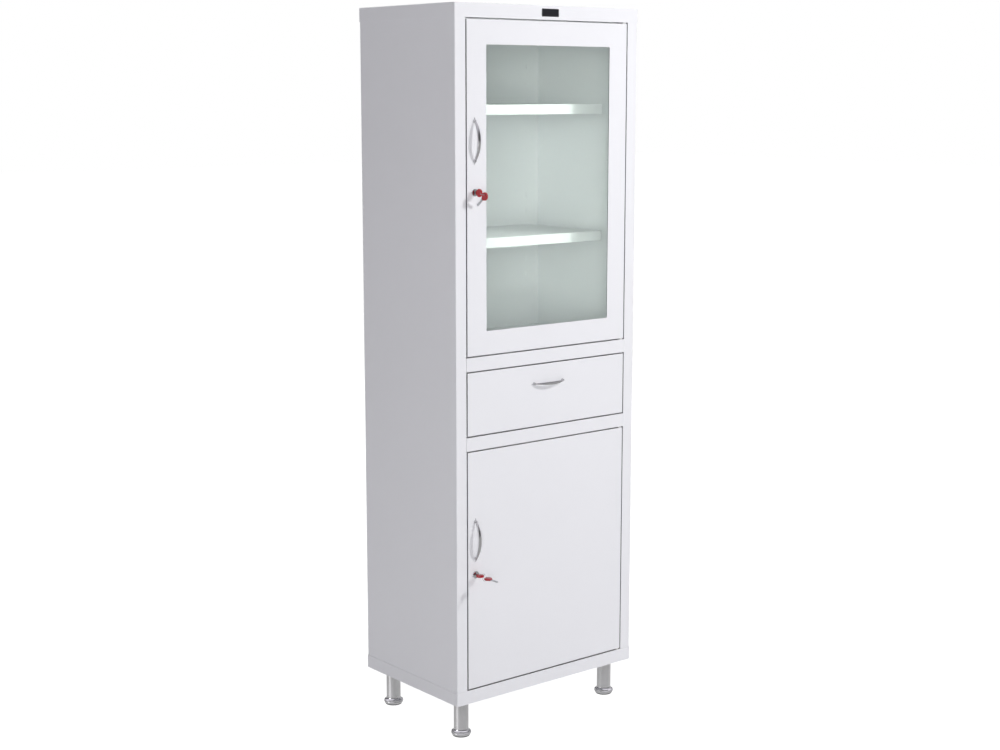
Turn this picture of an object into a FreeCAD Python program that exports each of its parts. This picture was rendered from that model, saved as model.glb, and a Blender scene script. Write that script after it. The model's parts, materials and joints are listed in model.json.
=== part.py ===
import FreeCAD, Part
import os
import re
import Sketcher

# A white sheet-steel medicine cabinet on four round legs: a glazed door over a drawer over a solid door.
# Frame: +X to the right as seen from the front, -Y out of the front, +Z up, the floor at zero.
# The origin lies on the floor under the middle of the whole cabinet, keys included.
# Lengths are millimetres and angles are degrees.

SIZES = [
    ("width", 600, "over the top cap and the base"),
    ("depth", 400, "over the top cap and the base"),
    ("box_height", 1755, "from the underside of the base to the top"),
    ("leg_height", 100, "from the floor to the underside of the base"),
    ("gauge", 1.2, "sheet steel of the case, doors and drawer"),
    ("fit_gap", 0.3, "between moving flat faces"),
    ("seat_gap", 0.2, "around a fastener in its hole"),
    ("pin_gap", 0.05, "radial running clearance of pins and plugs"),
    ("stile_width", 34, "side members of the front"),
    ("band_height", 35, "skirts of the top cap and the base"),
    ("rail_height", 35, "cross members above and below the drawer"),
    ("rail_depth", 23, "flanges of the cross members"),
    ("drawer_opening", 166, "height of the drawer opening"),
    ("lower_opening", 623, "height of the solid door's opening"),
    ("strike_depth", 24, "from the front face back to the strike lip"),
    ("strike_lip", 10, "lip that the bolt cam turns behind"),
    ("rear_flange", 20, "returns that hold the rear panel"),
    ("floor_flange", 20, "front and rear flanges of the fixed floors"),
    ("wall_hole", 8, "fixing holes to a wall"),
    ("wall_hole_inset", 80, "wall holes in from the outer faces"),
    ("wall_hole_drop", 60, "wall holes below the top"),
    ("slot_width", 3.2, "bracket slots in the rear panel"),
    ("slot_height", 14, "bracket slots in the rear panel"),
    ("slot_pitch", 44.5, "between the two slots of a pair"),
    ("upper_pair_below", 0.1047, "spare slots below the shelf's own, share of the opening's height"),
    ("upper_pair_above", 0.1096, "spare slots above the shelf's own, share of the opening's height"),
    ("middle_pair_below", 0.1277, "spare slots below the shelf's own, share of the opening's height"),
    ("middle_pair_above", 0.0866, "spare slots above the shelf's own, share of the opening's height"),
    ("shelf_side_gap", 32.6, "shelf end to the side panel"),
    ("shelf_setback", 97, "shelf front behind the front plane"),
    ("shelf_lip", 25.5, "front lip of a shelf"),
    ("shelf_hem", 12, "lip's return under the shelf"),
    ("shelf_upstand", 15, "rear edge of a shelf, turned up"),
    ("upper_shelf_share", 0.7482, "top of the shelf, share of its opening's height"),
    ("middle_shelf_share", 0.3426, "top of the shelf, share of its opening's height"),
    ("lower_shelf_share", 0.4976, "top of the shelf, share of its opening's height"),
    ("bracket_inset", 12, "bracket middle in from the shelf's end"),
    ("bracket_gauge", 2.5, "plate of a shelf bracket"),
    ("bracket_height", 22, "bracket at the rear"),
    ("bracket_nose", 12, "bracket at the front"),
    ("bracket_length", 270, "bracket from the rear panel forward"),
    ("tab_length", 3, "bracket tab through its slot"),
    ("tab_height", 10, "bracket tab in its slot"),
    ("leg_diameter", 38, "leg tube"),
    ("leg_wall", 1.5, "leg tube"),
    ("leg_inset", 50, "leg middle in from the outer faces"),
    ("foot_overhang", 7, "rim of the foot beyond the tube"),
    ("foot_height", 5, "rim of the foot"),
    ("foot_floor", 4, "closed end of the foot"),
    ("flare_radius", 6, "flare between the tube and the rim"),
    ("rim_radius", 2, "rounding of the rim"),
    ("glide_margin", 4, "rim of the foot beyond its plastic pad"),
    ("glide_thickness", 3, "plastic pad under a foot"),
    ("leg_plate_size", 70, "square plate round a leg's top"),
    ("leg_plate_gauge", 2.5, "square plate round a leg's top"),
    ("leg_screw_pitch", 52, "between the screws of a leg plate"),
    ("screw_diameter", 5, "leg screws"),
    ("screw_head", 9, "leg screws"),
    ("screw_head_height", 2.5, "leg screws"),
    ("door_gap", 3, "round the doors and the drawer front"),
    ("door_depth", 20, "doors and drawer front, front to back"),
    ("hem_width", 14, "return round the back of a door"),
    ("pivot_inset", 7, "hinge axis in from the door's edge"),
    ("pivot_depth", 5.5, "hinge axis behind the door's face"),
    ("pin_diameter", 5, "hinge pins"),
    ("pin_depth", 9, "pin inside the door"),
    ("bush_diameter", 7, "barrel of a hinge bush"),
    ("bush_flange", 10, "collar of a hinge bush"),
    ("bush_length", 10, "barrel of a hinge bush"),
    ("buffer_diameter", 8, "rubber buffers on the strike lip"),
    ("buffer_inset", 80, "buffers from the ends of a door"),
    ("window_margin", 60, "sheet round the window"),
    ("glass_overlap", 12, "glass behind the sheet"),
    ("glass_gauge", 4, "window glass"),
    ("gasket_gauge", 1.5, "seal between sheet and glass"),
    ("retainer_lip", 10, "retainer over the glass"),
    ("retainer_foot", 10, "retainer on the sheet"),
    ("rib_width", 80, "stiffener of the solid door, crest"),
    ("rib_foot", 20, "stiffener of the solid door, each foot"),
    ("rib_height", 14, "stiffener of the solid door"),
    ("handle_length", 114, "bow handle, tip to tip"),
    ("handle_span", 94, "clear length under the bow"),
    ("handle_spacing", 96, "between handle screws"),
    ("handle_stand", 21.5, "bow above the face"),
    ("handle_bridge", 17, "clear height under the bow"),
    ("handle_width", 8, "bow at its middle"),
    ("tip_overrun", 2, "the width's arcs meet this far past each tip"),
    ("post_diameter", 7, "handle post round a screw"),
    ("post_height", 5.5, "handle post round a screw"),
    ("handle_screw", 4, "handle screws"),
    ("handle_screw_head", 8, "handle screws"),
    ("handle_screw_head_height", 2.6, "handle screws"),
    ("handle_screw_grip", 4, "screw inside the post"),
    ("handle_inset", 23, "handle and lock in from the door's edge"),
    ("upper_handle_share", 0.645, "handle middle, share of the door's height"),
    ("lower_handle_share", 0.632, "handle middle, share of the door's height"),
    ("drawer_handle_share", 0.694, "handle middle, share of the drawer front's height"),
    ("upper_lock_share", 0.4927, "lock, share of the door's height"),
    ("lower_lock_share", 0.486, "lock, share of the door's height"),
    ("rosette_diameter", 18, "collar of a lock"),
    ("lock_stand", 3, "collar in front of the face"),
    ("barrel_diameter", 14, "lock body behind the face"),
    ("plug_diameter", 10, "turning plug"),
    ("nut_across", 19, "lock nut, across flats"),
    ("nut_height", 4, "lock nut"),
    ("cam_length", 26, "bolt cam from its axis to its end"),
    ("cam_width", 14, "bolt cam"),
    ("cam_gauge", 2, "bolt cam"),
    ("cam_gap", 0.5, "bolt cam behind the strike lip"),
    ("tail_size", 6, "square tail of the plug"),
    ("cam_screw", 3, "cam screw"),
    ("cam_screw_head", 7.5, "cam screw"),
    ("cam_screw_head_height", 2, "cam screw"),
    ("cam_screw_length", 5.5, "cam screw"),
    ("bow_size", 20, "round bow of a key"),
    ("bow_gauge", 4, "bow of a key"),
    ("bow_stand", 6, "bow from the lock when the key is home"),
    ("bow_hole", 5, "ring hole in a bow"),
    ("bow_hole_offset", 6, "ring hole from the bow's middle"),
    ("neck_stand", 4, "bow's neck from the lock"),
    ("neck_width", 9, "bow's neck"),
    ("blade_length", 26, "key blade"),
    ("blade_width", 7, "key blade"),
    ("blade_gauge", 1.8, "key blade"),
    ("ring_size", 18, "key ring, middle of the wire"),
    ("ring_wire", 1.6, "key ring"),
    ("ring_gap", 0.4, "ring to the edge of its hole"),
    ("upper_ring_angle", 10, "upper ring below straight out"),
    ("upper_spare_angle", 142, "upper spare key below straight out"),
    ("tray_depth", 330, "drawer tray"),
    ("tray_height", 110, "drawer tray"),
    ("tray_rise", 8, "drawer tray above its sill"),
    ("slide_rise", 60, "slide middle above the drawer's sill"),
    ("slide_height", 45, "slide channel"),
    ("slide_thickness", 12.7, "slide, case to tray"),
    ("slide_lip", 9, "lips of the fixed and middle channels"),
    ("slide_offset", 1, "slide in from the strike lip"),
    ("slide_setback", 2, "slide behind the strike lip"),
    ("slide_foot", 15, "foot of the fixed channel on the floor"),
    ("slide_length", 320, "slide channels"),
    ("badge_width", 56, "bare plate on the top band"),
    ("badge_height", 20, "bare plate on the top band"),
    ("badge_gauge", 1, "bare plate on the top band"),
]

SIDES = {"left": "-", "right": ""}

doc = FreeCAD.newDocument("medicine_cabinet")
sheet = doc.addObject("Spreadsheet::Sheet", "sizes")
for row, (alias, value, note) in enumerate(SIZES, start=1):
    sheet.set(f"A{row}", note)
    sheet.set(f"B{row}", str(value))
    sheet.setAlias(f"B{row}", alias)
doc.recompute()

ALIASES = {alias for alias, value, note in SIZES}
FUNCTIONS = {"cos", "sin", "sqrt"}
NODES = {}


# Formulas and sketches

def bound(formula):
    """Write a formula of size names as an expression on the sheet."""
    def prefixed(match):
        word = match.group()
        if word in FUNCTIONS:
            return word
        if word not in ALIASES:
            raise ValueError(f"no size named {word}")
        return f"sizes.{word}"
    return re.sub(r"[a-z_]+", prefixed, formula)


def size(alias):
    """Read one size from the sheet."""
    return float(sheet.get(alias))


def node(name, thing):
    """Name an object as a sub-part that is written to a file."""
    thing.Label = name
    NODES[name] = thing
    return thing


def place(thing, point):
    """Bind an object's base point to three formulas."""
    for axis, formula in zip("xyz", point):
        thing.setExpression(f"Placement.Base.{axis}", bound(formula))


def new_body(name):
    """Start a body."""
    return doc.addObject("PartDesign::Body", f"{name}_body")


def new_sketch(body, plane, start):
    """Attach a sketch to an origin plane of its body, at a formula's distance along +X, +Y or +Z."""
    sketch = body.newObject("Sketcher::SketchObject", f"{body.Name}_sketch")
    support = [feature for feature in body.Origin.OriginFeatures if feature.Role == f"{plane}_Plane"]
    sketch.AttachmentSupport = [(support[0], "")]
    sketch.MapMode = "FlatFace"
    offset = f"-({start})" if plane == "XZ" else start
    sketch.setExpression("AttachmentOffset.Base.z", bound(offset))
    return sketch


def fix_point(sketch, edge, end, x, y):
    """Hold one end of an edge at two formulas from the sketch's origin."""
    for kind, formula in (("DistanceX", x), ("DistanceY", y)):
        row = sketch.addConstraint(Sketcher.Constraint(kind, -1, 1, edge, end, 1.0))
        sketch.setExpression(f"Constraints[{row}]", bound(formula))


def draw_outline(sketch, points):
    """Draw a closed outline of straight edges through points given as pairs of formulas."""
    first = sketch.GeometryCount
    count = len(points)
    corners = [FreeCAD.Vector(index, index * index, 0) for index in range(count)]
    for index in range(count):
        sketch.addGeometry(Part.LineSegment(corners[index], corners[(index + 1) % count]))
    for index in range(count):
        following = first + (index + 1) % count
        sketch.addConstraint(Sketcher.Constraint("Coincident", first + index, 2, following, 1))
    for index, (x, y) in enumerate(points):
        fix_point(sketch, first + index, 1, x, y)


def draw_circle(sketch, x, y, diameter):
    """Draw a circle whose middle and diameter are formulas."""
    edge = sketch.addGeometry(Part.Circle(FreeCAD.Vector(0, 0, 0), FreeCAD.Vector(0, 0, 1), 1))
    row = sketch.addConstraint(Sketcher.Constraint("Diameter", edge, 1.0))
    sketch.setExpression(f"Constraints[{row}]", bound(diameter))
    fix_point(sketch, edge, 3, x, y)


def draw(sketch, wires):
    """Draw wires: a list of points is an outline, a tuple of three formulas is a circle."""
    for wire in wires:
        if isinstance(wire, tuple):
            draw_circle(sketch, *wire)
        else:
            draw_outline(sketch, wire)


def slab(body, plane, wires, start, length):
    """Add a pad of some wires that runs from a start along +X, +Y or +Z. Inner wires are holes."""
    sketch = new_sketch(body, plane, start)
    draw(sketch, wires)
    pad = body.newObject("PartDesign::Pad", f"{body.Name}_pad")
    pad.Profile = sketch
    pad.Reversed = plane == "XZ"
    pad.setExpression("Length", bound(length))
    doc.recompute()
    return pad


def bore(body, plane, wires, start, length):
    """Cut wires out of a body from a start along +X, +Y or +Z, and make sure that the cut met it."""
    before = body.Shape.Volume
    sketch = new_sketch(body, plane, start)
    draw(sketch, wires)
    pocket = body.newObject("PartDesign::Pocket", f"{body.Name}_pocket")
    pocket.Profile = sketch
    pocket.Reversed = plane != "XZ"
    pocket.setExpression("Length", bound(length))
    doc.recompute()
    if not body.Shape.Volume < before:
        raise RuntimeError(f"a cut in {body.Name} met nothing")
    return pocket


def spin(body, points):
    """Turn an outline in the XZ plane once round the Z axis."""
    sketch = new_sketch(body, "XZ", "0")
    draw_outline(sketch, points)
    turned = body.newObject("PartDesign::Revolution", f"{body.Name}_turned")
    turned.Profile = sketch
    turned.ReferenceAxis = (sketch, ["V_Axis"])
    turned.Angle = 360
    doc.recompute()
    return turned


def rectangle(left, right, low, high):
    """Give the outline of a rectangle between four formulas."""
    return [(left, low), (right, low), (right, high), (left, high)]


def inset(frame, amount):
    """Shrink a rectangle, given as left, right, low and high, by a formula on every side."""
    left, right, low, high = frame
    return (f"{left} + {amount}", f"{right} - ({amount})", f"{low} + {amount}", f"{high} - ({amount})")


def round_edge(body, feature, radius, rim, height):
    """Round the circular edges of a feature that have one rim radius and height, all named sizes."""
    chosen = []
    for index, edge in enumerate(feature.Shape.Edges, start=1):
        if not isinstance(edge.Curve, Part.Circle):
            continue
        same_rim = abs(edge.Curve.Radius - rim) < Part.Precision.confusion()
        same_height = abs(edge.Curve.Center.z - height) < Part.Precision.confusion()
        if same_rim and same_height:
            chosen.append(f"Edge{index}")
    fillet = body.newObject("PartDesign::Fillet", f"{body.Name}_fillet")
    fillet.Base = (feature, chosen)
    fillet.setExpression("Radius", bound(radius))
    doc.recompute()
    return fillet


# Solid primitives and their sums

def rod(name, middle, diameter, length, turn=None):
    """Make a cylinder from its start point along +Z, or along a turned axis."""
    cylinder = doc.addObject("Part::Cylinder", name)
    cylinder.setExpression("Radius", bound(f"({diameter}) / 2"))
    cylinder.setExpression("Height", bound(length))
    if turn is not None:
        cylinder.Placement.Rotation = turn
    place(cylinder, middle)
    return cylinder


def box(name, low, high):
    """Make a box between two corners given as formulas."""
    block = doc.addObject("Part::Box", name)
    for side, start, end in zip(("Length", "Width", "Height"), low, high):
        block.setExpression(side, bound(f"{end} - ({start})"))
    place(block, low)
    return block


def joined(kind, name, first, second):
    """Make the Part::Cut, Part::Fuse or Part::Common of two objects."""
    result = doc.addObject(f"Part::{kind}", name)
    result.Base = first
    result.Tool = second
    return result


def group(name, things):
    """Make one node of several separate solids."""
    compound = doc.addObject("Part::Compound", name)
    compound.Links = things
    return node(name, compound)


ALONG_X = FreeCAD.Rotation(FreeCAD.Vector(0, 1, 0), 90)
ALONG_Y = FreeCAD.Rotation(FreeCAD.Vector(1, 0, 0), -90)

# Levels and planes that the pieces share

LOWER_SILL = "(leg_height + band_height)"
LOWER_HEAD = f"({LOWER_SILL} + lower_opening)"
DRAWER_SILL = f"({LOWER_HEAD} + rail_height)"
DRAWER_HEAD = f"({DRAWER_SILL} + drawer_opening)"
UPPER_SILL = f"({DRAWER_HEAD} + rail_height)"
TOP = "(leg_height + box_height)"
UPPER_HEAD = f"({TOP} - band_height)"

PIVOT_ONE = "(bow_stand + bow_size / 2 + bow_hole_offset)"
RING_SEAT = "((bow_hole - ring_wire) / 2 - ring_gap)"
RING_PITCH = f"(ring_size + 2 * {RING_SEAT})"
NECK_RUN = "(bow_stand + bow_size / 2 - neck_stand)"
KEY_RUN = f"(bow_hole_offset + {NECK_RUN} + blade_length)"
KEY_REACH = f"(lock_stand + {PIVOT_ONE} + {RING_PITCH} + {KEY_RUN} - gauge)"

FRONT = f"(({KEY_REACH} - depth) / 2)"
REAR = f"({FRONT} + depth)"
FACE = f"({FRONT} + gauge)"
BACK = f"({FACE} + door_depth)"
STRIKE = f"({FACE} + strike_depth)"
WALL = f"({REAR} - 3 * gauge)"

CASE_OUT = "(width / 2 - gauge)"
CASE_IN = "(width / 2 - 2 * gauge)"
STILE_EDGE = "(width / 2 - stile_width)"
DOOR_EDGE = f"({STILE_EDGE} - door_gap)"
HANDLE_X = f"(handle_inset - {DOOR_EDGE})"
PIVOT_X = f"({DOOR_EDGE} - pivot_inset)"
PIVOT_Y = f"({FACE} + pivot_depth)"

UPPER_DOOR = (f"-{DOOR_EDGE}", DOOR_EDGE, f"({UPPER_SILL} + door_gap)", f"({UPPER_HEAD} - door_gap)")
LOWER_DOOR = (f"-{DOOR_EDGE}", DOOR_EDGE, f"({LOWER_SILL} + door_gap)", f"({LOWER_HEAD} - door_gap)")
DRAWER_FRONT = (f"-{DOOR_EDGE}", DOOR_EDGE, f"({DRAWER_SILL} + door_gap)", f"({DRAWER_HEAD} - door_gap)")


# The case

def beside(sign, inner, outer):
    """Give the lower and higher x of a sheet that lies between two distances on one side."""
    return (f"-({outer})", f"-({inner})") if sign else (inner, outer)


def side_panel(name, sign):
    """Weld up a side: a flat wall, a folded front stile with its strike lip, and a rear flange."""
    top = f"{TOP} - gauge"
    left, right = beside(sign, CASE_IN, CASE_OUT)
    wall = box(f"{name}_wall", (left, FACE, LOWER_SILL), (right, f"{REAR} - gauge", top))
    left, right = beside(sign, f"{CASE_OUT} - rear_flange", CASE_IN)
    flange = box(f"{name}_flange", (left, f"{REAR} - 2 * gauge", LOWER_SILL), (right, f"{REAR} - gauge", top))
    profile = [
        (CASE_IN, FACE),
        (STILE_EDGE, FACE),
        (STILE_EDGE, STRIKE),
        (f"{STILE_EDGE} - strike_lip", STRIKE),
        (f"{STILE_EDGE} - strike_lip", f"{STRIKE} + gauge"),
        (f"{STILE_EDGE} + gauge", f"{STRIKE} + gauge"),
        (f"{STILE_EDGE} + gauge", f"{FACE} + gauge"),
        (CASE_IN, f"{FACE} + gauge"),
    ]
    stile = new_body(f"{name}_stile")
    points = [(f"{sign}({x})", y) for x, y in profile]
    slab(stile, "XY", [points], LOWER_SILL, f"{top} - {LOWER_SILL}")
    group(name, [wall, stile, flange])


UPPER_OPENING = f"({UPPER_HEAD} - {UPPER_SILL})"
UPPER_SHELF = f"({UPPER_SILL} + upper_shelf_share * {UPPER_OPENING})"
MIDDLE_SHELF = f"({UPPER_SILL} + middle_shelf_share * {UPPER_OPENING})"
LOWER_SHELF = f"({LOWER_SILL} + lower_shelf_share * lower_opening)"
SHELF_LEVELS = {"upper_shelf": UPPER_SHELF, "middle_shelf": MIDDLE_SHELF, "lower_shelf": LOWER_SHELF}
SHELF_HALF = f"({CASE_IN} - shelf_side_gap)"
BRACKET_X = f"({SHELF_HALF} - bracket_inset)"


def slot_level(level):
    """Give the middle of the slot that a shelf's bracket hangs in."""
    return f"({level} - gauge - bracket_height / 2)"


def slot(sign, middle):
    """Give the outline of one bracket slot."""
    x = f"{sign}{BRACKET_X}"
    return rectangle(
        f"{x} - slot_width / 2", f"{x} + slot_width / 2",
        f"{middle} - slot_height / 2", f"{middle} + slot_height / 2",
    )


def rear_panel():
    """Cut the rear panel with its bracket slots and the two wall holes."""
    middles = [slot_level(level) for level in SHELF_LEVELS.values()]
    spares = {"upper": slot_level(UPPER_SHELF), "middle": slot_level(MIDDLE_SHELF)}
    for name, own in spares.items():
        for pair in (f"{own} - {name}_pair_below * {UPPER_OPENING}", f"{own} + {name}_pair_above * {UPPER_OPENING}"):
            middles += [f"({pair} - slot_pitch / 2)", f"({pair} + slot_pitch / 2)"]
    wires = [rectangle(f"-{CASE_IN}", CASE_IN, LOWER_SILL, f"{TOP} - gauge")]
    for sign in SIDES.values():
        wires.append((f"{sign}(width / 2 - wall_hole_inset)", f"{TOP} - wall_hole_drop", "wall_hole"))
    body = new_body("rear_panel")
    slab(body, "XZ", wires, WALL, "gauge")
    for middle in middles:
        bore(body, "XZ", [slot(sign, middle) for sign in SIDES.values()], WALL, "gauge")
    node("rear_panel", body)


def top_cap():
    """Weld up the top: a plate, a skirt on every side and a return over the glazed door."""
    half = "width / 2"
    under = f"{TOP} - gauge"
    sheets = [
        box("cap_plate", (f"-{half}", FRONT, under), (half, REAR, TOP)),
        box("cap_front", (f"-{half}", FRONT, UPPER_HEAD), (half, FACE, under)),
        box("cap_rear", (f"-{half}", f"{REAR} - gauge", UPPER_HEAD), (half, REAR, under)),
        box("cap_return", (f"-{STILE_EDGE}", FACE, UPPER_HEAD),
            (STILE_EDGE, f"{FACE} + rail_depth", f"{UPPER_HEAD} + gauge")),
    ]
    for side, sign in SIDES.items():
        left, right = beside(sign, CASE_OUT, half)
        sheets.append(box(f"cap_{side}", (left, FACE, UPPER_HEAD), (right, f"{REAR} - gauge", under)))
    group("top_cap", sheets)


def leg_places():
    """List the legs' names with the formulas of their middles."""
    places = {}
    rows = {"front": f"({FRONT} + leg_inset)", "rear": f"({REAR} - leg_inset)"}
    for row, y in rows.items():
        for side, sign in SIDES.items():
            places[f"{row}_{side}"] = (f"{sign}(width / 2 - leg_inset)", y)
    return places


def leg_screw_places(x, y):
    """List the middles of the four screws round a leg."""
    corners = []
    for across in ("-", "+"):
        for along in ("-", "+"):
            corners.append((f"{x} {across} leg_screw_pitch / 2", f"{y} {along} leg_screw_pitch / 2"))
    return corners


SCREW_HOLE = "screw_diameter + 2 * seat_gap"


def base_tray():
    """Fold the base: a floor plate on a skirt that is open below, with the leg screws' holes."""
    outer = ("-width / 2", "width / 2", FRONT, REAR)
    wires = [rectangle(*outer)]
    for x, y in leg_places().values():
        wires += [(*corner, SCREW_HOLE) for corner in leg_screw_places(x, y)]
    body = new_body("base_tray")
    slab(body, "XY", wires, f"{LOWER_SILL} - gauge", "gauge")
    slab(body, "XY", [rectangle(*outer), rectangle(*inset(outer, "gauge"))], "leg_height", "band_height")
    node("base_tray", body)


def rail(name, low, high):
    """Fold a cross member between the stiles, open to the rear."""
    behind = f"{FACE} + rail_depth"
    profile = [
        (FACE, low),
        (behind, low),
        (behind, f"{low} + gauge"),
        (f"{FACE} + gauge", f"{low} + gauge"),
        (f"{FACE} + gauge", f"{high} - gauge"),
        (behind, f"{high} - gauge"),
        (behind, high),
        (FACE, high),
    ]
    body = new_body(name)
    slab(body, "YZ", [profile], f"-{STILE_EDGE}", f"2 * {STILE_EDGE}")
    node(name, body)


def fixed_floor(name, level):
    """Fold a fixed floor behind a cross member, with a flange down at its front and rear."""
    start = f"{STRIKE} + gauge"
    profile = [
        (start, level),
        (start, f"{level} - floor_flange"),
        (f"{start} + gauge", f"{level} - floor_flange"),
        (f"{start} + gauge", f"{level} - gauge"),
        (f"{WALL} - gauge", f"{level} - gauge"),
        (f"{WALL} - gauge", f"{level} - floor_flange"),
        (WALL, f"{level} - floor_flange"),
        (WALL, level),
    ]
    body = new_body(name)
    slab(body, "YZ", [profile], f"-{CASE_IN}", f"2 * {CASE_IN}")
    node(name, body)


def shelf(name, level):
    """Fold a shelf: a lip and hem at the front, an upstand at the rear."""
    start = f"({FRONT} + shelf_setback)"
    profile = [
        (start, level),
        (start, f"{level} - shelf_lip"),
        (f"{start} + shelf_hem", f"{level} - shelf_lip"),
        (f"{start} + shelf_hem", f"{level} - shelf_lip + gauge"),
        (f"{start} + gauge", f"{level} - shelf_lip + gauge"),
        (f"{start} + gauge", f"{level} - gauge"),
        (WALL, f"{level} - gauge"),
        (WALL, f"{level} + shelf_upstand"),
        (f"{WALL} - gauge", f"{level} + shelf_upstand"),
        (f"{WALL} - gauge", level),
    ]
    body = new_body(name)
    slab(body, "YZ", [profile], f"-{SHELF_HALF}", f"2 * {SHELF_HALF}")
    node(name, body)


def bracket(name, level, sign):
    """Cut one shelf bracket: an arm under the shelf with a tab in the rear panel's slot."""
    top = f"({level} - gauge)"
    middle = slot_level(level)
    profile = [
        (f"{WALL} - bracket_length", top),
        (WALL, top),
        (WALL, f"{middle} + tab_height / 2"),
        (f"{WALL} + tab_length", f"{middle} + tab_height / 2"),
        (f"{WALL} + tab_length", f"{middle} - tab_height / 2"),
        (WALL, f"{middle} - tab_height / 2"),
        (WALL, f"{top} - bracket_height"),
        (f"{WALL} - bracket_length", f"{top} - bracket_nose"),
    ]
    body = new_body(name)
    slab(body, "YZ", [profile], f"{sign}{BRACKET_X} - bracket_gauge / 2", "bracket_gauge")
    return body


def case():
    """Build everything that stands still above the legs."""
    for side, sign in SIDES.items():
        side_panel(f"side_panel_{side}", sign)
    rear_panel()
    top_cap()
    base_tray()
    rail("lower_rail", LOWER_HEAD, DRAWER_SILL)
    rail("upper_rail", DRAWER_HEAD, UPPER_SILL)
    fixed_floor("drawer_compartment_floor", DRAWER_SILL)
    fixed_floor("upper_compartment_floor", UPPER_SILL)
    brackets = []
    for name, level in SHELF_LEVELS.items():
        shelf(name, level)
        for side, sign in SIDES.items():
            brackets.append(bracket(f"{name}_bracket_{side}", level, sign))
    group("shelf_brackets", brackets)
    badge = box(
        "badge_plate",
        ("-badge_width / 2", f"{FRONT} - badge_gauge", f"{UPPER_HEAD} + (band_height - badge_height) / 2"),
        ("badge_width / 2", FRONT, f"{UPPER_HEAD} + (band_height + badge_height) / 2"),
    )
    node("badge_plate", badge)


# The legs

LEG_TOP = f"({LOWER_SILL} - gauge)"
PLATE_BOTTOM = f"({LEG_TOP} - leg_plate_gauge)"
FOOT_RADIUS = "(leg_diameter / 2 + foot_overhang)"


def leg(name, x, y):
    """Turn a leg tube with a flared, closed foot."""
    floor = "glide_thickness + foot_floor"
    rim = "glide_thickness + foot_height"
    bore_radius = "leg_diameter / 2 - leg_wall"
    body = new_body(name)
    turned = spin(body, [
        ("0", "glide_thickness"),
        (FOOT_RADIUS, "glide_thickness"),
        (FOOT_RADIUS, rim),
        ("leg_diameter / 2", rim),
        ("leg_diameter / 2", LEG_TOP),
        (bore_radius, LEG_TOP),
        (bore_radius, floor),
        ("0", floor),
    ])
    rim_height = size("glide_thickness") + size("foot_height")
    tube_radius = size("leg_diameter") / 2
    flared = round_edge(body, turned, "flare_radius", tube_radius, rim_height)
    round_edge(body, flared, "rim_radius", tube_radius + size("foot_overhang"), rim_height)
    place(body, (x, y, "0"))
    node(f"leg_{name}", body)


def leg_plate(name, x, y):
    """Cut the square plate that holds a leg's top to the base."""
    half = "leg_plate_size / 2"
    outer = rectangle(f"{x} - {half}", f"{x} + {half}", f"{y} - {half}", f"{y} + {half}")
    wires = [outer, (x, y, "leg_diameter + 2 * seat_gap")]
    wires += [(*corner, SCREW_HOLE) for corner in leg_screw_places(x, y)]
    body = new_body(f"{name}_plate")
    slab(body, "XY", wires, PLATE_BOTTOM, "leg_plate_gauge")
    return body


def leg_screw(name, x, y):
    """Make a screw through a leg plate and the base."""
    head = rod(f"{name}_head", (x, y, f"{PLATE_BOTTOM} - screw_head_height"), "screw_head", "screw_head_height")
    shank = rod(f"{name}_shank", (x, y, PLATE_BOTTOM), "screw_diameter", "leg_plate_gauge + gauge")
    return joined("Fuse", name, head, shank)


def legs():
    """Build the four legs with their plates, screws and glides."""
    plates = []
    screws = []
    glides = []
    for name, (x, y) in leg_places().items():
        leg(name, x, y)
        plates.append(leg_plate(name, x, y))
        glides.append(rod(f"{name}_glide", (x, y, "0"), f"2 * ({FOOT_RADIUS} - glide_margin)", "glide_thickness"))
        for number, corner in enumerate(leg_screw_places(x, y), start=1):
            screws.append(leg_screw(f"{name}_screw_{number}", *corner))
    group("leg_plates", plates)
    group("leg_screws", screws)
    group("leg_glides", glides)


# Hinges, handles and locks

def pan(name, frame, holes):
    """Fold a door or a drawer front: a pierced face, walls all round and a hem at the back."""
    body = new_body(name)
    wall = [rectangle(*frame), rectangle(*inset(frame, "gauge"))]
    hem = [rectangle(*frame), rectangle(*inset(frame, "hem_width"))]
    slab(body, "XZ", [rectangle(*frame), *holes], FACE, "gauge")
    slab(body, "XZ", wall, f"{FACE} + gauge", "door_depth - gauge")
    slab(body, "XZ", hem, f"{BACK} - gauge", "gauge")
    return node(name, body)


def pierce_for_bushes(body, frame):
    """Drill a door's bottom and top walls for the hinge bushes."""
    low, high = frame[2:]
    hole = (PIVOT_X, PIVOT_Y, "bush_diameter + 2 * seat_gap")
    bore(body, "XY", [hole], low, "gauge")
    bore(body, "XY", [hole], f"{high} - gauge", "gauge")


def bush(name, inner, outward):
    """Turn a flanged hinge bush. Its collar fills the gap outside the door's wall, which ends at a level."""
    collar = f"{outward}(door_gap - fit_gap)"
    inward = "-" if outward == "+" else "+"
    bore_radius = "(pin_diameter / 2 + pin_gap)"
    body = new_body(name)
    spin(body, [
        (bore_radius, f"0 {collar}"),
        ("bush_flange / 2", f"0 {collar}"),
        ("bush_flange / 2", "0"),
        ("bush_diameter / 2", "0"),
        ("bush_diameter / 2", f"0 {inward} bush_length"),
        (bore_radius, f"0 {inward} bush_length"),
    ])
    place(body, (PIVOT_X, PIVOT_Y, inner))
    return body


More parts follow.
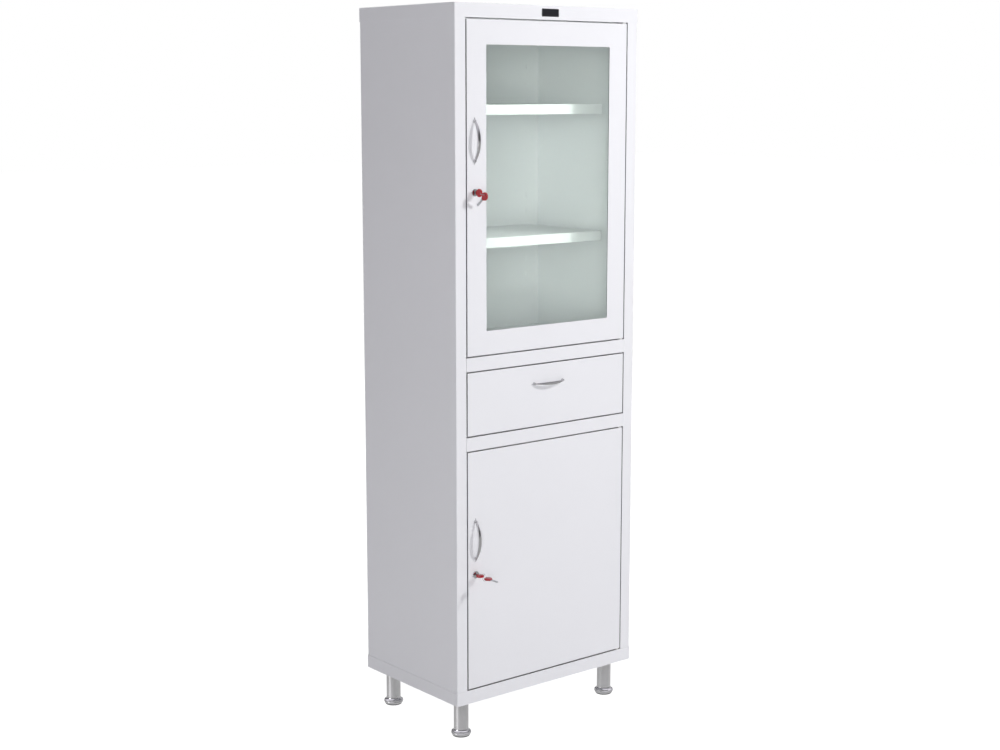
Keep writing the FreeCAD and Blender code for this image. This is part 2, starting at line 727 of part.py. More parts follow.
def hinge(name, frame):
    """Make a door's two bushes as one node, and give back its two pins."""
    low, high = frame[2:]
    bottom = bush(f"{name}_bush_bottom", low, "-")
    top = bush(f"{name}_bush_top", high, "+")
    group(f"{name}_hinge_bushes", [bottom, top])
    reach = "door_gap + pin_depth"
    lower_pin = rod(f"{name}_pin_bottom", (PIVOT_X, PIVOT_Y, f"{low} - door_gap"), "pin_diameter", reach)
    upper_pin = rod(f"{name}_pin_top", (PIVOT_X, PIVOT_Y, f"{high} - pin_depth"), "pin_diameter", reach)
    return [lower_pin, upper_pin]


def arc_diameter(chord, rise):
    """Give the diameter of the arc with a chord and a rise, as a formula."""
    return f"(({chord}) * ({chord}) / (4 * ({rise})) + ({rise}))"


def bow_handle(name, middle, turn):
    """Cut a bow handle out of round solids: length along Z, width along X, standing out along -Y."""
    outer = arc_diameter("handle_length", "handle_stand")
    inner = arc_diameter("handle_span", "handle_bridge")
    taper = arc_diameter("handle_length + 2 * tip_overrun", "handle_width / 2")
    side = "-handle_width"
    reach = "2 * handle_width"
    crest = rod(f"{name}_crest", (side, f"{outer} / 2 - handle_stand", "0"), outer, reach, ALONG_X)
    hollow = rod(f"{name}_hollow", (side, f"{inner} / 2 - handle_bridge", "0"), inner, reach, ALONG_X)
    arch = joined("Cut", f"{name}_arch", crest, hollow)
    start = "-2 * handle_stand"
    right = rod(f"{name}_right", (f"(handle_width - {taper}) / 2", start, "0"), taper, "2 * handle_stand", ALONG_Y)
    left = rod(f"{name}_left", (f"({taper} - handle_width) / 2", start, "0"), taper, "2 * handle_stand", ALONG_Y)
    lens = joined("Common", f"{name}_lens", right, left)
    bow = joined("Common", f"{name}_bow", arch, lens)
    for end in ("-", ""):
        post = rod(
            f"{name}_post", ("0", "-post_height", f"{end}handle_spacing / 2"), "post_diameter", "post_height", ALONG_Y,
        )
        drilled = rod(
            f"{name}_drill", ("0", "-handle_screw_grip", f"{end}handle_spacing / 2"),
            "handle_screw + 2 * seat_gap", "handle_screw_grip", ALONG_Y,
        )
        bow = joined("Cut", f"{name}_drilled", joined("Fuse", f"{name}_posted", bow, post), drilled)
    bow.Placement.Rotation = turn
    place(bow, middle)
    node(name, bow)


def handle_screws(name, centres):
    """Make the two screws that hold a handle from inside the face."""
    screws = []
    for x, z in centres:
        head = rod(
            f"{name}_head", (x, f"{FACE} + gauge", z), "handle_screw_head", "handle_screw_head_height", ALONG_Y,
        )
        shank = rod(
            f"{name}_shank", (x, f"{FACE} - handle_screw_grip", z),
            "handle_screw", "handle_screw_grip + gauge", ALONG_Y,
        )
        screws.append(joined("Fuse", f"{name}_screw", head, shank))
    return screws


HANDLE_HOLE = "handle_screw + 2 * seat_gap"
BARREL_HOLE = "barrel_diameter + 2 * seat_gap"
BARREL_END = f"({STRIKE} + gauge)"
CAM_START = f"({BARREL_END} + cam_gap)"


def lock(name, level):
    """Build a cam lock at a level: its body, then plug, cam and cam screw that turn. Give back its nut."""
    x = HANDLE_X
    rosette_start = f"({FACE} - lock_stand)"
    bore_hole = (x, level, "plug_diameter + 2 * pin_gap")
    body = new_body(f"{name}_lock_body")
    slab(body, "XZ", [(x, level, "rosette_diameter"), bore_hole], rosette_start, "lock_stand")
    slab(body, "XZ", [(x, level, "barrel_diameter"), bore_hole], FACE, f"{BARREL_END} - {FACE}")
    node(f"{name}_lock_body", body)

    corner = "(nut_across / sqrt(3))"
    hexagon = [
        (f"{x} + {corner}", level),
        (f"{x} + {corner} / 2", f"{level} + nut_across / 2"),
        (f"{x} - {corner} / 2", f"{level} + nut_across / 2"),
        (f"{x} - {corner}", level),
        (f"{x} - {corner} / 2", f"{level} - nut_across / 2"),
        (f"{x} + {corner} / 2", f"{level} - nut_across / 2"),
    ]
    nut = new_body(f"{name}_lock_nut")
    slab(nut, "XZ", [hexagon, (x, level, BARREL_HOLE)], f"{FACE} + gauge", "nut_height")

    upright = name == "upper"
    half_thin = "(blade_gauge / 2 + fit_gap)"
    half_wide = "(blade_width / 2 + fit_gap)"
    across, along = (half_thin, half_wide) if upright else (half_wide, half_thin)
    keyway = rectangle(f"{x} - {across}", f"{x} + {across}", f"{level} - {along}", f"{level} + {along}")
    tail = rectangle(
        f"{x} - tail_size / 2", f"{x} + tail_size / 2", f"{level} - tail_size / 2", f"{level} + tail_size / 2",
    )
    tail_end = f"({CAM_START} + cam_gauge)"
    screw_hole = (x, level, "cam_screw + 2 * seat_gap")
    plug = new_body(f"{name}_lock_plug")
    slab(plug, "XZ", [(x, level, "plug_diameter")], rosette_start, f"{CAM_START} - {rosette_start}")
    slab(plug, "XZ", [tail], CAM_START, "cam_gauge")
    bore(plug, "XZ", [keyway], rosette_start, "blade_length - neck_stand + fit_gap")
    bore(plug, "XZ", [screw_hole], f"{tail_end} - cam_screw_length - seat_gap", "cam_screw_length + seat_gap")
    node(f"{name}_lock_plug", plug)

    half_tail = "tail_size / 2 + seat_gap"
    lever = rectangle(
        f"{x} - cam_width / 2", f"{x} + cam_width / 2", f"{level} - cam_width / 2", f"{level} + cam_length",
    )
    seat = rectangle(f"{x} - ({half_tail})", f"{x} + {half_tail}", f"{level} - ({half_tail})", f"{level} + {half_tail}")
    cam = new_body(f"{name}_lock_cam")
    slab(cam, "XZ", [lever, seat], CAM_START, "cam_gauge")
    node(f"{name}_lock_cam", cam)

    head = rod(f"{name}_cam_head", (x, tail_end, level), "cam_screw_head", "cam_screw_head_height", ALONG_Y)
    shank = rod(
        f"{name}_cam_shank", (x, f"{tail_end} - cam_screw_length", level), "cam_screw", "cam_screw_length", ALONG_Y,
    )
    node(f"{name}_cam_screw", joined("Fuse", f"{name}_cam_screw", head, shank))
    return nut


def key(bow_name, blade_name, hole, turn):
    """Build a key about its ring hole, with the blade along +Y before it is turned."""
    neck_end = f"(bow_hole_offset + {NECK_RUN})"
    bow = new_body(bow_name)
    disc = [("bow_hole_offset", "0", "bow_size"), ("0", "0", "bow_hole")]
    neck = rectangle("bow_hole_offset", neck_end, "-neck_width / 2", "neck_width / 2")
    slab(bow, "YZ", disc, "-bow_gauge / 2", "bow_gauge")
    slab(bow, "YZ", [neck], "-bow_gauge / 2", "bow_gauge")
    blade = new_body(blade_name)
    strip = rectangle(neck_end, f"{neck_end} + blade_length", "-blade_width / 2", "blade_width / 2")
    slab(blade, "YZ", [strip], "-blade_gauge / 2", "blade_gauge")
    for name, body in ((bow_name, bow), (blade_name, blade)):
        body.Placement.Rotation = turn
        place(body, hole)
        node(name, body)


def key_set(name, level, roll, ring_angle, spare_angle):
    """Hang a key ring and a spare key on the key in a lock. Angles run down from straight out."""
    about_x = FreeCAD.Vector(1, 0, 0)
    rolled = FreeCAD.Rotation(FreeCAD.Vector(0, 1, 0), roll)
    ring_turn = size(ring_angle) if ring_angle in ALIASES else 0
    spare_turn = size(spare_angle) if spare_angle in ALIASES else 0
    hole_y = f"({FACE} - lock_stand - {PIVOT_ONE})"
    key(f"{name}_key_bow", f"{name}_key_blade", (HANDLE_X, hole_y, level), rolled)

    ring = doc.addObject("Part::Torus", f"{name}_key_ring")
    ring.setExpression("Radius1", bound("ring_size / 2"))
    ring.setExpression("Radius2", bound("ring_wire / 2"))
    ring.Placement.Rotation = rolled.multiply(FreeCAD.Rotation(about_x, ring_turn))
    out = f"{RING_PITCH} * cos({ring_angle})"
    down = f"{RING_PITCH} * sin({ring_angle})"
    place(ring, (HANDLE_X, f"{hole_y} - {out} / 2", f"{level} - {down} / 2"))
    node(f"{name}_key_ring", ring)

    far_hole = (HANDLE_X, f"{hole_y} - {out}", f"{level} - {down}")
    turned = rolled.multiply(FreeCAD.Rotation(about_x, 180 + spare_turn))
    key(f"{name}_spare_bow", f"{name}_spare_blade", far_hole, turned)


def door_furniture(name, frame):
    """Build a door's handle, lock, fasteners and keys, and list the holes that its face needs."""
    bottom, top = frame[2:]
    handle_z = f"({bottom} + {name}_handle_share * ({top} - {bottom}))"
    lock_z = f"({bottom} + {name}_lock_share * ({top} - {bottom}))"
    centres = [(HANDLE_X, f"{handle_z} {end} handle_spacing / 2") for end in ("-", "+")]
    bow_handle(f"{name}_door_handle", (HANDLE_X, FACE, handle_z), FreeCAD.Rotation())
    screws = handle_screws(f"{name}_handle", centres)
    nut = lock(name, lock_z)
    group(f"{name}_door_fasteners", [*screws, nut])
    if name == "upper":
        key_set(name, lock_z, 0, "upper_ring_angle", "upper_spare_angle")
    else:
        key_set(name, lock_z, 90, "0", "0")
    return [(*centre, HANDLE_HOLE) for centre in centres] + [(HANDLE_X, lock_z, BARREL_HOLE)]


# The doors and the drawer

def glazing(window):
    """Build the window's seal, glass and retainer behind the glazed door's face."""
    pane = inset(window, "(-glass_overlap)")
    glass_start = f"({FACE} + gauge + gasket_gauge)"
    glass_end = f"({glass_start} + glass_gauge)"
    gasket = new_body("upper_door_gasket")
    slab(gasket, "XZ", [rectangle(*pane), rectangle(*window)], f"{FACE} + gauge", "gasket_gauge")
    node("upper_door_gasket", gasket)
    glass = new_body("upper_door_glass")
    slab(glass, "XZ", [rectangle(*pane)], glass_start, "glass_gauge")
    node("upper_door_glass", glass)
    web_in = inset(pane, "(-fit_gap)")
    web_out = inset(web_in, "(-gauge)")
    foot = inset(web_out, "(-retainer_foot)")
    lip = inset(pane, "retainer_lip")
    retainer = new_body("upper_glass_retainer")
    slab(retainer, "XZ", [rectangle(*foot), rectangle(*web_in)], f"{FACE} + gauge", "gauge")
    slab(retainer, "XZ", [rectangle(*web_out), rectangle(*web_in)], f"{FACE} + gauge",
         "gasket_gauge + glass_gauge + gauge")
    slab(retainer, "XZ", [rectangle(*web_out), rectangle(*lip)], glass_end, "gauge")
    node("upper_glass_retainer", retainer)


def stiffener():
    """Fold the hat-shaped stiffener behind the solid door's face."""
    inside = f"({FACE} + gauge)"
    crest = f"({inside} + rib_height)"
    half = "rib_width / 2"
    foot = "(rib_width / 2 + rib_foot)"
    profile = [
        (f"-{foot}", inside),
        (f"-{half} + gauge", inside),
        (f"-{half} + gauge", f"{crest} - gauge"),
        (f"{half} - gauge", f"{crest} - gauge"),
        (f"{half} - gauge", inside),
        (foot, inside),
        (foot, f"{inside} + gauge"),
        (half, f"{inside} + gauge"),
        (half, crest),
        (f"-{half}", crest),
        (f"-{half}", f"{inside} + gauge"),
        (f"-{foot}", f"{inside} + gauge"),
    ]
    low, high = inset(LOWER_DOOR, "hem_width")[2:]
    body = new_body("lower_door_stiffener")
    slab(body, "XY", [profile], low, f"{high} - ({low})")
    node("lower_door_stiffener", body)


def buffers(name, frame):
    """Make the rubber buffers that a door closes on."""
    low, high = frame[2:]
    x = f"strike_lip / 2 - {STILE_EDGE}"
    start = f"({BACK} + fit_gap)"
    made = []
    for end, z in (("bottom", f"{low} + buffer_inset"), ("top", f"{high} - buffer_inset")):
        made.append(rod(f"{name}_buffer_{end}", (x, start, z), "buffer_diameter", f"{STRIKE} - {start}", ALONG_Y))
    return made


def doors():
    """Build both doors with what hangs on them, and the pins and buffers on the case."""
    upper_holes = door_furniture("upper", UPPER_DOOR)
    window = inset(UPPER_DOOR, "window_margin")
    upper = pan("upper_door_frame", UPPER_DOOR, [rectangle(*window), *upper_holes])
    glazing(window)
    lower_holes = door_furniture("lower", LOWER_DOOR)
    lower = pan("lower_door_panel", LOWER_DOOR, lower_holes)
    stiffener()
    pins = []
    pads = []
    for name, body, frame in (("upper", upper, UPPER_DOOR), ("lower", lower, LOWER_DOOR)):
        pierce_for_bushes(body, frame)
        pins += hinge(name, frame)
        pads += buffers(name, frame)
    group("hinge_pins", pins)
    group("door_buffers", pads)


SLIDE_OUT = f"({STILE_EDGE} - strike_lip - slide_offset)"
SLIDE_IN = f"({SLIDE_OUT} - slide_thickness)"
SLIDE_Z = f"({DRAWER_SILL} + slide_rise)"
SLIDE_START = f"({STRIKE} + gauge + slide_setback)"
STEP = "(gauge + fit_gap)"


def channel(name, sign, outline):
    """Extrude one slide channel, drawn for the right-hand side."""
    body = new_body(name)
    points = [(f"{sign}({x})", z) for x, z in outline]
    slab(body, "XZ", [points], SLIDE_START, "slide_length")
    return body


def fixed_channel():
    """Outline the channel on the case, with its foot on the floor."""
    low = f"{SLIDE_Z} - slide_height / 2"
    high = f"{SLIDE_Z} + slide_height / 2"
    lip = f"{SLIDE_OUT} - slide_lip"
    return [
        (f"{SLIDE_OUT} + slide_foot", DRAWER_SILL),
        (f"{SLIDE_OUT} + slide_foot", f"{DRAWER_SILL} + gauge"),
        (SLIDE_OUT, f"{DRAWER_SILL} + gauge"),
        (SLIDE_OUT, high),
        (lip, high),
        (lip, f"{high} - gauge"),
        (f"{SLIDE_OUT} - gauge", f"{high} - gauge"),
        (f"{SLIDE_OUT} - gauge", f"{low} + gauge"),
        (lip, f"{low} + gauge"),
        (lip, low),
        (f"{SLIDE_OUT} - gauge", low),
        (f"{SLIDE_OUT} - gauge", DRAWER_SILL),
    ]


def middle_channel():
    """Outline the channel that runs in the fixed one."""
    out = f"({SLIDE_OUT} - {STEP})"
    half = f"(slide_height / 2 - {STEP})"
    lip = f"{out} - slide_lip"
    return [
        (lip, f"{SLIDE_Z} - {half}"),
        (out, f"{SLIDE_Z} - {half}"),
        (out, f"{SLIDE_Z} + {half}"),
        (lip, f"{SLIDE_Z} + {half}"),
        (lip, f"{SLIDE_Z} + {half} - gauge"),
        (f"{out} - gauge", f"{SLIDE_Z} + {half} - gauge"),
        (f"{out} - gauge", f"{SLIDE_Z} - {half} + gauge"),
        (lip, f"{SLIDE_Z} - {half} + gauge"),
    ]


def inner_channel():
    """Outline the channel on the drawer, which runs in the middle one."""
    out = f"({SLIDE_OUT} - 2 * {STEP})"
    half = f"(slide_height / 2 - 2 * {STEP})"
    web = f"{SLIDE_IN} + gauge"
    return [
        (SLIDE_IN, f"{SLIDE_Z} - {half}"),
        (out, f"{SLIDE_Z} - {half}"),
        (out, f"{SLIDE_Z} - {half} + gauge"),
        (web, f"{SLIDE_Z} - {half} + gauge"),
        (web, f"{SLIDE_Z} + {half} - gauge"),
        (out, f"{SLIDE_Z} + {half} - gauge"),
        (out, f"{SLIDE_Z} + {half}"),
        (SLIDE_IN, f"{SLIDE_Z} + {half}"),
    ]


def tray():
    """Weld up the drawer's tray from a floor and four walls."""
    rear = f"({BACK} + tray_depth)"
    low = f"({DRAWER_SILL} + tray_rise)"
    floor = f"({low} + gauge)"
    high = f"({low} + tray_height)"
    inner = f"({SLIDE_IN} - gauge)"
    sheets = [
        box("tray_floor", (f"-{SLIDE_IN}", BACK, low), (SLIDE_IN, rear, floor)),
        box("tray_front", (f"-{inner}", BACK, floor), (inner, f"{BACK} + gauge", high)),
        box("tray_rear", (f"-{inner}", f"{rear} - gauge", floor), (inner, rear, high)),
    ]
    for side, sign in SIDES.items():
        left, right = beside(sign, inner, SLIDE_IN)
        sheets.append(box(f"tray_{side}", (left, BACK, floor), (right, rear, high)))
    group("drawer_tray", sheets)


def drawer():
    """Build the drawer, its handle and the three channels of each slide."""
    bottom, top = DRAWER_FRONT[2:]
    handle_z = f"({bottom} + drawer_handle_share * ({top} - {bottom}))"
    centres = [(f"{end}handle_spacing / 2", handle_z) for end in ("-", "")]
    pan("drawer_front", DRAWER_FRONT, [(*centre, HANDLE_HOLE) for centre in centres])
    across = FreeCAD.Rotation(FreeCAD.Vector(0, 1, 0), 90)
    bow_handle("drawer_handle", ("0", FACE, handle_z), across)
    group("drawer_handle_screws", handle_screws("drawer_handle", centres))

    tray()

    outlines = {"fixed": fixed_channel(), "middle": middle_channel(), "drawer": inner_channel()}
    for member, outline in outlines.items():
        pair = [channel(f"slide_{member}_{side}", sign, outline) for side, sign in SIDES.items()]
        group(f"slide_{member}_channels", pair)


# Checks and files

def check():
    """Stop if any object failed or any sub-part has no sound solid."""
    doc.recompute()
    for thing in doc.Objects:
        if "Invalid" in thing.State or "Error" in thing.State:
            raise RuntimeError(f"{thing.Label} failed: {thing.State}")
    for name, thing in NODES.items():
        shape = thing.Shape
        if shape.isNull() or not shape.isValid() or not shape.Solids:
            raise RuntimeError(f"{name} has no sound solid")


def write():
    """Write each sub-part to a file of its own."""
    os.makedirs("parts", exist_ok=True)
    for name, thing in NODES.items():
        thing.Shape.exportStep(os.path.join("parts", f"{name}.step"))


case()
legs()
doors()
drawer()
check()
write()
print(len(NODES), "sub-parts written")
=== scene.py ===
"""Looks of a white sheet-steel medicine cabinet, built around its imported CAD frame."""

import json
import logging
import math
from dataclasses import dataclass
from enum import Enum
from typing import Any, Iterable, Optional, Sequence

import bmesh
import bpy
from mathutils import Matrix, Vector


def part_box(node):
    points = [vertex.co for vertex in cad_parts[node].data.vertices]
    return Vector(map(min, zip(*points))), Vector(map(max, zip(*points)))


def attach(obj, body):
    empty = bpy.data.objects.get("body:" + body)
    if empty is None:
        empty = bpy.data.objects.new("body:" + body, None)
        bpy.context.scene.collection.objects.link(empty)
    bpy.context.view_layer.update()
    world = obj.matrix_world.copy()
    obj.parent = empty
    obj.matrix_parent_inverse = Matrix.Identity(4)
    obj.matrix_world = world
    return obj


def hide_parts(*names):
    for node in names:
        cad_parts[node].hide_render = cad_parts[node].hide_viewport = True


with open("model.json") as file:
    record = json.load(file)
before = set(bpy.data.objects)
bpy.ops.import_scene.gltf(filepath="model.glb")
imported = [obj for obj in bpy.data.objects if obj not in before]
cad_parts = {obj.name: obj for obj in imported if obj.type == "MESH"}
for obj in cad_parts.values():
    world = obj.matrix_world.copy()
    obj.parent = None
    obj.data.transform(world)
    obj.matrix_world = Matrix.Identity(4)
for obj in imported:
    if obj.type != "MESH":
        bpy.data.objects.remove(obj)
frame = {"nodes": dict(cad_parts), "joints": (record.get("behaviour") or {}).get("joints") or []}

LOG = logging.getLogger("cabinet")
MM = 0.001
WHITE = (1.0, 1.0, 1.0, 1.0)
CREASE_DEG = 40.0
SAME_SPOT = 0.005 * MM
WELD_REACH = 0.01 * MM
BEND_SEGMENTS = 3
INNER_CORNER = 0.4
Colour = tuple[float, float, float]
Point = tuple[float, float]
Spot = tuple[float, float, float]


# Node trees

class Wiring:
    """A node tree with short calls that add nodes and feed their sockets."""

    def __init__(self, tree: bpy.types.NodeTree) -> None:
        """Keep the tree.

        Args:
            tree: the node tree to add to.
        """
        self.tree = tree

    def add(self, kind: str, settings: Optional[dict[str, Any]] = None, **inputs: Any) -> bpy.types.Node:
        """Add a node.

        Args:
            kind: the node's type name.
            settings: attributes of the node, such as its operation.
            inputs: sockets by name, with spaces as underscores, each a value or a socket to link.

        Returns:
            The new node.
        """
        node = self.tree.nodes.new(kind)
        for name, value in (settings or {}).items():
            setattr(node, name, value)
        for name, value in inputs.items():
            self.feed(node.inputs[name.replace("_", " ")], value)
        return node

    def feed(self, socket: bpy.types.NodeSocket, value: Any) -> None:
        """Link a socket to another, or set its value.

        Args:
            socket: the input to feed.
            value: an output socket or a plain value.
        """
        if isinstance(value, bpy.types.NodeSocket):
            self.tree.links.new(value, socket)
        else:
            socket.default_value = value

    def math(self, operation: str, first: Any, second: Any = 0.0) -> bpy.types.NodeSocket:
        """Add a Math node.

        Args:
            operation: the node's operation.
            first: its first input.
            second: its second input.

        Returns:
            The result's socket.
        """
        node = self.add("ShaderNodeMath", {"operation": operation})
        self.feed(node.inputs[0], first)
        self.feed(node.inputs[1], second)
        return node.outputs[0]

    def mix(self, factor: Any, first: Any, second: Any, blend: str = "MIX") -> bpy.types.NodeSocket:
        """Add a colour mix.

        Args:
            factor: how much of the second colour.
            first: the first colour.
            second: the second colour.
            blend: the blend type.

        Returns:
            The mixed colour's socket.
        """
        node = self.add("ShaderNodeMix", {"data_type": "RGBA", "blend_type": blend})
        self.feed(node.inputs["Factor"], factor)
        self.feed(node.inputs[6], first)
        self.feed(node.inputs[7], second)
        return node.outputs[2]

    def span(
        self, value: Any, low: Any, high: Any, start: float = 0.0, end: float = 1.0,
    ) -> bpy.types.NodeSocket:
        """Add a Map Range node.

        Args:
            value: the value to map.
            low: the result at the start.
            high: the result at the end.
            start: the value that gives low.
            end: the value that gives high.

        Returns:
            The result's socket.
        """
        ends = {"From_Min": start, "From_Max": end, "To_Min": low, "To_Max": high}
        return self.add("ShaderNodeMapRange", Value=value, **ends).outputs[0]

    def scale(self, colour: Any, level: Any) -> bpy.types.NodeSocket:
        """Scale a colour by a level."""
        node = self.add("ShaderNodeVectorMath", {"operation": "SCALE"}, Scale=level)
        self.feed(node.inputs[0], colour)
        return node.outputs[0]

    def either(self, factor: Any, first: bpy.types.Node, second: bpy.types.Node) -> None:
        """Send a mix of two shaders to the material's output.

        Args:
            factor: how much of the second shader.
            first: the first shader.
            second: the second shader.
        """
        mixed = self.add("ShaderNodeMixShader")
        for socket, value in zip(mixed.inputs, (factor, first.outputs[0], second.outputs[0])):
            self.feed(socket, value)
        self.feed(self.tree.nodes["Material Output"].inputs["Surface"], mixed.outputs[0])


def rgba(colour: Colour) -> tuple[float, float, float, float]:
    """Give a colour an alpha of one."""
    return (*colour, 1.0)


# Effects that several finishes share

class Effect(Enum):
    """Shader groups that finishes share."""

    TONE = "tone drift"
    PEEL = "orange peel"
    GRAIN = "drawn grain"
    DUST = "settled dust"


FLOAT, VECTOR, COLOUR = "NodeSocketFloat", "NodeSocketVector", "NodeSocketColor"
DUST_PATCHES = 14.0
DUST_SLOPE = 0.7


class EffectShelf:
    """Builds each shared shader group once."""

    def __init__(self) -> None:
        """Build every group."""
        self.groups = {
            Effect.TONE: self.tone(),
            Effect.PEEL: self.peel(),
            Effect.GRAIN: self.grain(),
            Effect.DUST: self.dust(),
        }

    @staticmethod
    def start(effect: Effect, inputs: dict[str, str], outputs: dict[str, str]) -> tuple[Wiring, Any, Any]:
        """Start a group.

        Args:
            effect: which effect it is.
            inputs: socket types by name.
            outputs: socket types by name.

        Returns:
            Its wiring, the inputs' sockets by name and its output node.
        """
        tree = bpy.data.node_groups.new(effect.value, "ShaderNodeTree")
        for way, sockets in (("INPUT", inputs), ("OUTPUT", outputs)):
            for name, kind in sockets.items():
                tree.interface.new_socket(name, in_out=way, socket_type=kind)
        wiring = Wiring(tree)
        given = wiring.add("NodeGroupInput").outputs
        return wiring, given, wiring.add("NodeGroupOutput")

    def tone(self) -> bpy.types.NodeTree:
        """Build the slow drift in tone that a large sprayed or moulded surface has."""
        wiring, given, out = self.start(
            Effect.TONE, {"Vector": VECTOR, "Color": COLOUR, "Scale": FLOAT, "Amount": FLOAT},
            {"Color": COLOUR},
        )
        noise = wiring.add("ShaderNodeTexNoise", Vector=given["Vector"], Scale=given["Scale"], Detail=3.0)
        drift = wiring.math("MULTIPLY", wiring.span(noise.outputs[0], -1.0, 1.0), given["Amount"])
        wiring.feed(out.inputs["Color"], wiring.scale(given["Color"], wiring.math("ADD", 1.0, drift)))
        return wiring.tree

    def peel(self) -> bpy.types.NodeTree:
        """Build the pebbled skin of powder coat and moulded plastic."""
        wiring, given, out = self.start(
            Effect.PEEL, {"Vector": VECTOR, "Scale": FLOAT, "Roughness": FLOAT, "Spread": FLOAT},
            {"Height": FLOAT, "Roughness": FLOAT},
        )
        coarse = wiring.add("ShaderNodeTexNoise", Vector=given["Vector"], Scale=given["Scale"], Detail=2.0)
        cells = wiring.add(
            "ShaderNodeTexVoronoi", {"feature": "SMOOTH_F1"}, Vector=given["Vector"], Scale=given["Scale"],
        )
        height = wiring.math("ADD", coarse.outputs[0], cells.outputs["Distance"])
        change = wiring.math("MULTIPLY", wiring.span(coarse.outputs[0], -1.0, 1.0), given["Spread"])
        wiring.feed(out.inputs["Height"], height)
        wiring.feed(out.inputs["Roughness"], wiring.math("ADD", given["Roughness"], change))
        return wiring.tree

    def grain(self) -> bpy.types.NodeTree:
        """Build the fine lines of drawn, polished or plated metal."""
        wiring, given, out = self.start(
            Effect.GRAIN, {"Vector": VECTOR, "Scale": FLOAT, "Roughness": FLOAT, "Spread": FLOAT},
            {"Height": FLOAT, "Roughness": FLOAT},
        )
        lines = wiring.add("ShaderNodeTexNoise", Vector=given["Vector"], Scale=given["Scale"], Detail=4.0)
        change = wiring.math("MULTIPLY", wiring.span(lines.outputs[0], -1.0, 1.0), given["Spread"])
        wiring.feed(out.inputs["Height"], lines.outputs[0])
        wiring.feed(out.inputs["Roughness"], wiring.math("ADD", given["Roughness"], change))
        return wiring.tree

    def dust(self) -> bpy.types.NodeTree:
        """Build the thin dust that settles on faces that look up."""
        wiring, given, out = self.start(
            Effect.DUST,
            {"Vector": VECTOR, "Color": COLOUR, "Roughness": FLOAT, "Dust": COLOUR, "Amount": FLOAT},
            {"Color": COLOUR, "Roughness": FLOAT},
        )
        normal = wiring.add("ShaderNodeNewGeometry").outputs["Normal"]
        upward = wiring.add("ShaderNodeSeparateXYZ", Vector=normal).outputs["Z"]
        patches = wiring.add("ShaderNodeTexNoise", Vector=given["Vector"], Scale=DUST_PATCHES, Detail=4.0)
        laid = wiring.math("MULTIPLY", wiring.span(upward, 0.0, 1.0, DUST_SLOPE), patches.outputs[0])
        cover = wiring.math("MULTIPLY", laid, given["Amount"])
        wiring.feed(out.inputs["Color"], wiring.mix(cover, given["Color"], given["Dust"]))
        wiring.feed(out.inputs["Roughness"], wiring.math("ADD", given["Roughness"], cover))
        return wiring.tree

    def use(self, wiring: Wiring, effect: Effect, **inputs: Any) -> Any:
        """Place a group in a material.

        Args:
            wiring: the material's wiring.
            effect: which group.
            inputs: its sockets by name.

        Returns:
            The placed node's outputs by name.
        """
        return wiring.add("ShaderNodeGroup", {"node_tree": self.groups[effect]}, **inputs).outputs


# Finishes

DUST_GREY: Colour = (0.62, 0.61, 0.58)


@dataclass(frozen=True)
class GapShade:
    """Painted shade: a narrow dark band painted on the folded edges that line the gaps round the doors and
    the drawer, standing in for the shade that falls in the gaps.
    """

    face: float
    reach: float
    start: float = 0.5 * MM
    end: float = 6.0 * MM
    tone: float = 0.28
    edge_on: float = 0.5

    def lay(self, wiring: Wiring, coordinates: Any, colour: bpy.types.NodeSocket) -> bpy.types.NodeSocket:
        """Darken a colour within the band, which paints the shade of the gaps.

        Args:
            wiring: the material's wiring.
            coordinates: outputs of its Texture Coordinate node.
            colour: the coat's colour.

        Returns:
            The colour with the band.
        """
        spot = wiring.add("ShaderNodeSeparateXYZ", Vector=coordinates["Object"]).outputs
        facing = wiring.add("ShaderNodeSeparateXYZ", Vector=coordinates["Normal"]).outputs["Y"]
        depth = wiring.math("SUBTRACT", spot["Y"], self.face)
        behind = wiring.math("GREATER_THAN", depth, self.start)
        within = wiring.math("MULTIPLY", behind, wiring.math("LESS_THAN", depth, self.end))
        inside = wiring.math("LESS_THAN", wiring.math("ABSOLUTE", spot["X"]), self.reach)
        sideways = wiring.math("LESS_THAN", wiring.math("ABSOLUTE", facing), self.edge_on)
        mask = wiring.math("MULTIPLY", wiring.math("MULTIPLY", within, inside), sideways)
        # painted shade: the coat is scaled down to the band's level on the gap edges
        return wiring.scale(colour, wiring.span(mask, 1.0, self.tone))


@dataclass(frozen=True)
class Finish:
    """What every finish has: a name, a colour and a roughness."""

    name: str
    colour: Colour
    roughness: float

    def begin(self) -> tuple[bpy.types.Material, Wiring, bpy.types.Node, Any]:
        """Start the material.

        Returns:
            The material, its wiring, its Principled shader and its Texture Coordinate outputs.
        """
        material = bpy.data.materials.new(self.name)
        material.use_nodes = True
        material.diffuse_color = rgba(self.colour)
        wiring = Wiring(material.node_tree)
        shader = material.node_tree.nodes["Principled BSDF"]
        shader.inputs["Base Color"].default_value = rgba(self.colour)
        shader.inputs["Roughness"].default_value = self.roughness
        return material, wiring, shader, wiring.add("ShaderNodeTexCoord").outputs

    @staticmethod
    def raise_skin(
        wiring: Wiring, shader: bpy.types.Node, height: bpy.types.NodeSocket, strength: float, depth: float,
    ) -> None:
        """Turn a height into a bumped normal.

        Args:
            wiring: the material's wiring.
            shader: its Principled shader.
            height: the height's socket.
            strength: how strong the bump is.
            depth: its depth in metres.
        """
        bump = wiring.add("ShaderNodeBump", Strength=strength, Distance=depth, Height=height)
        wiring.feed(shader.inputs["Normal"], bump.outputs[0])


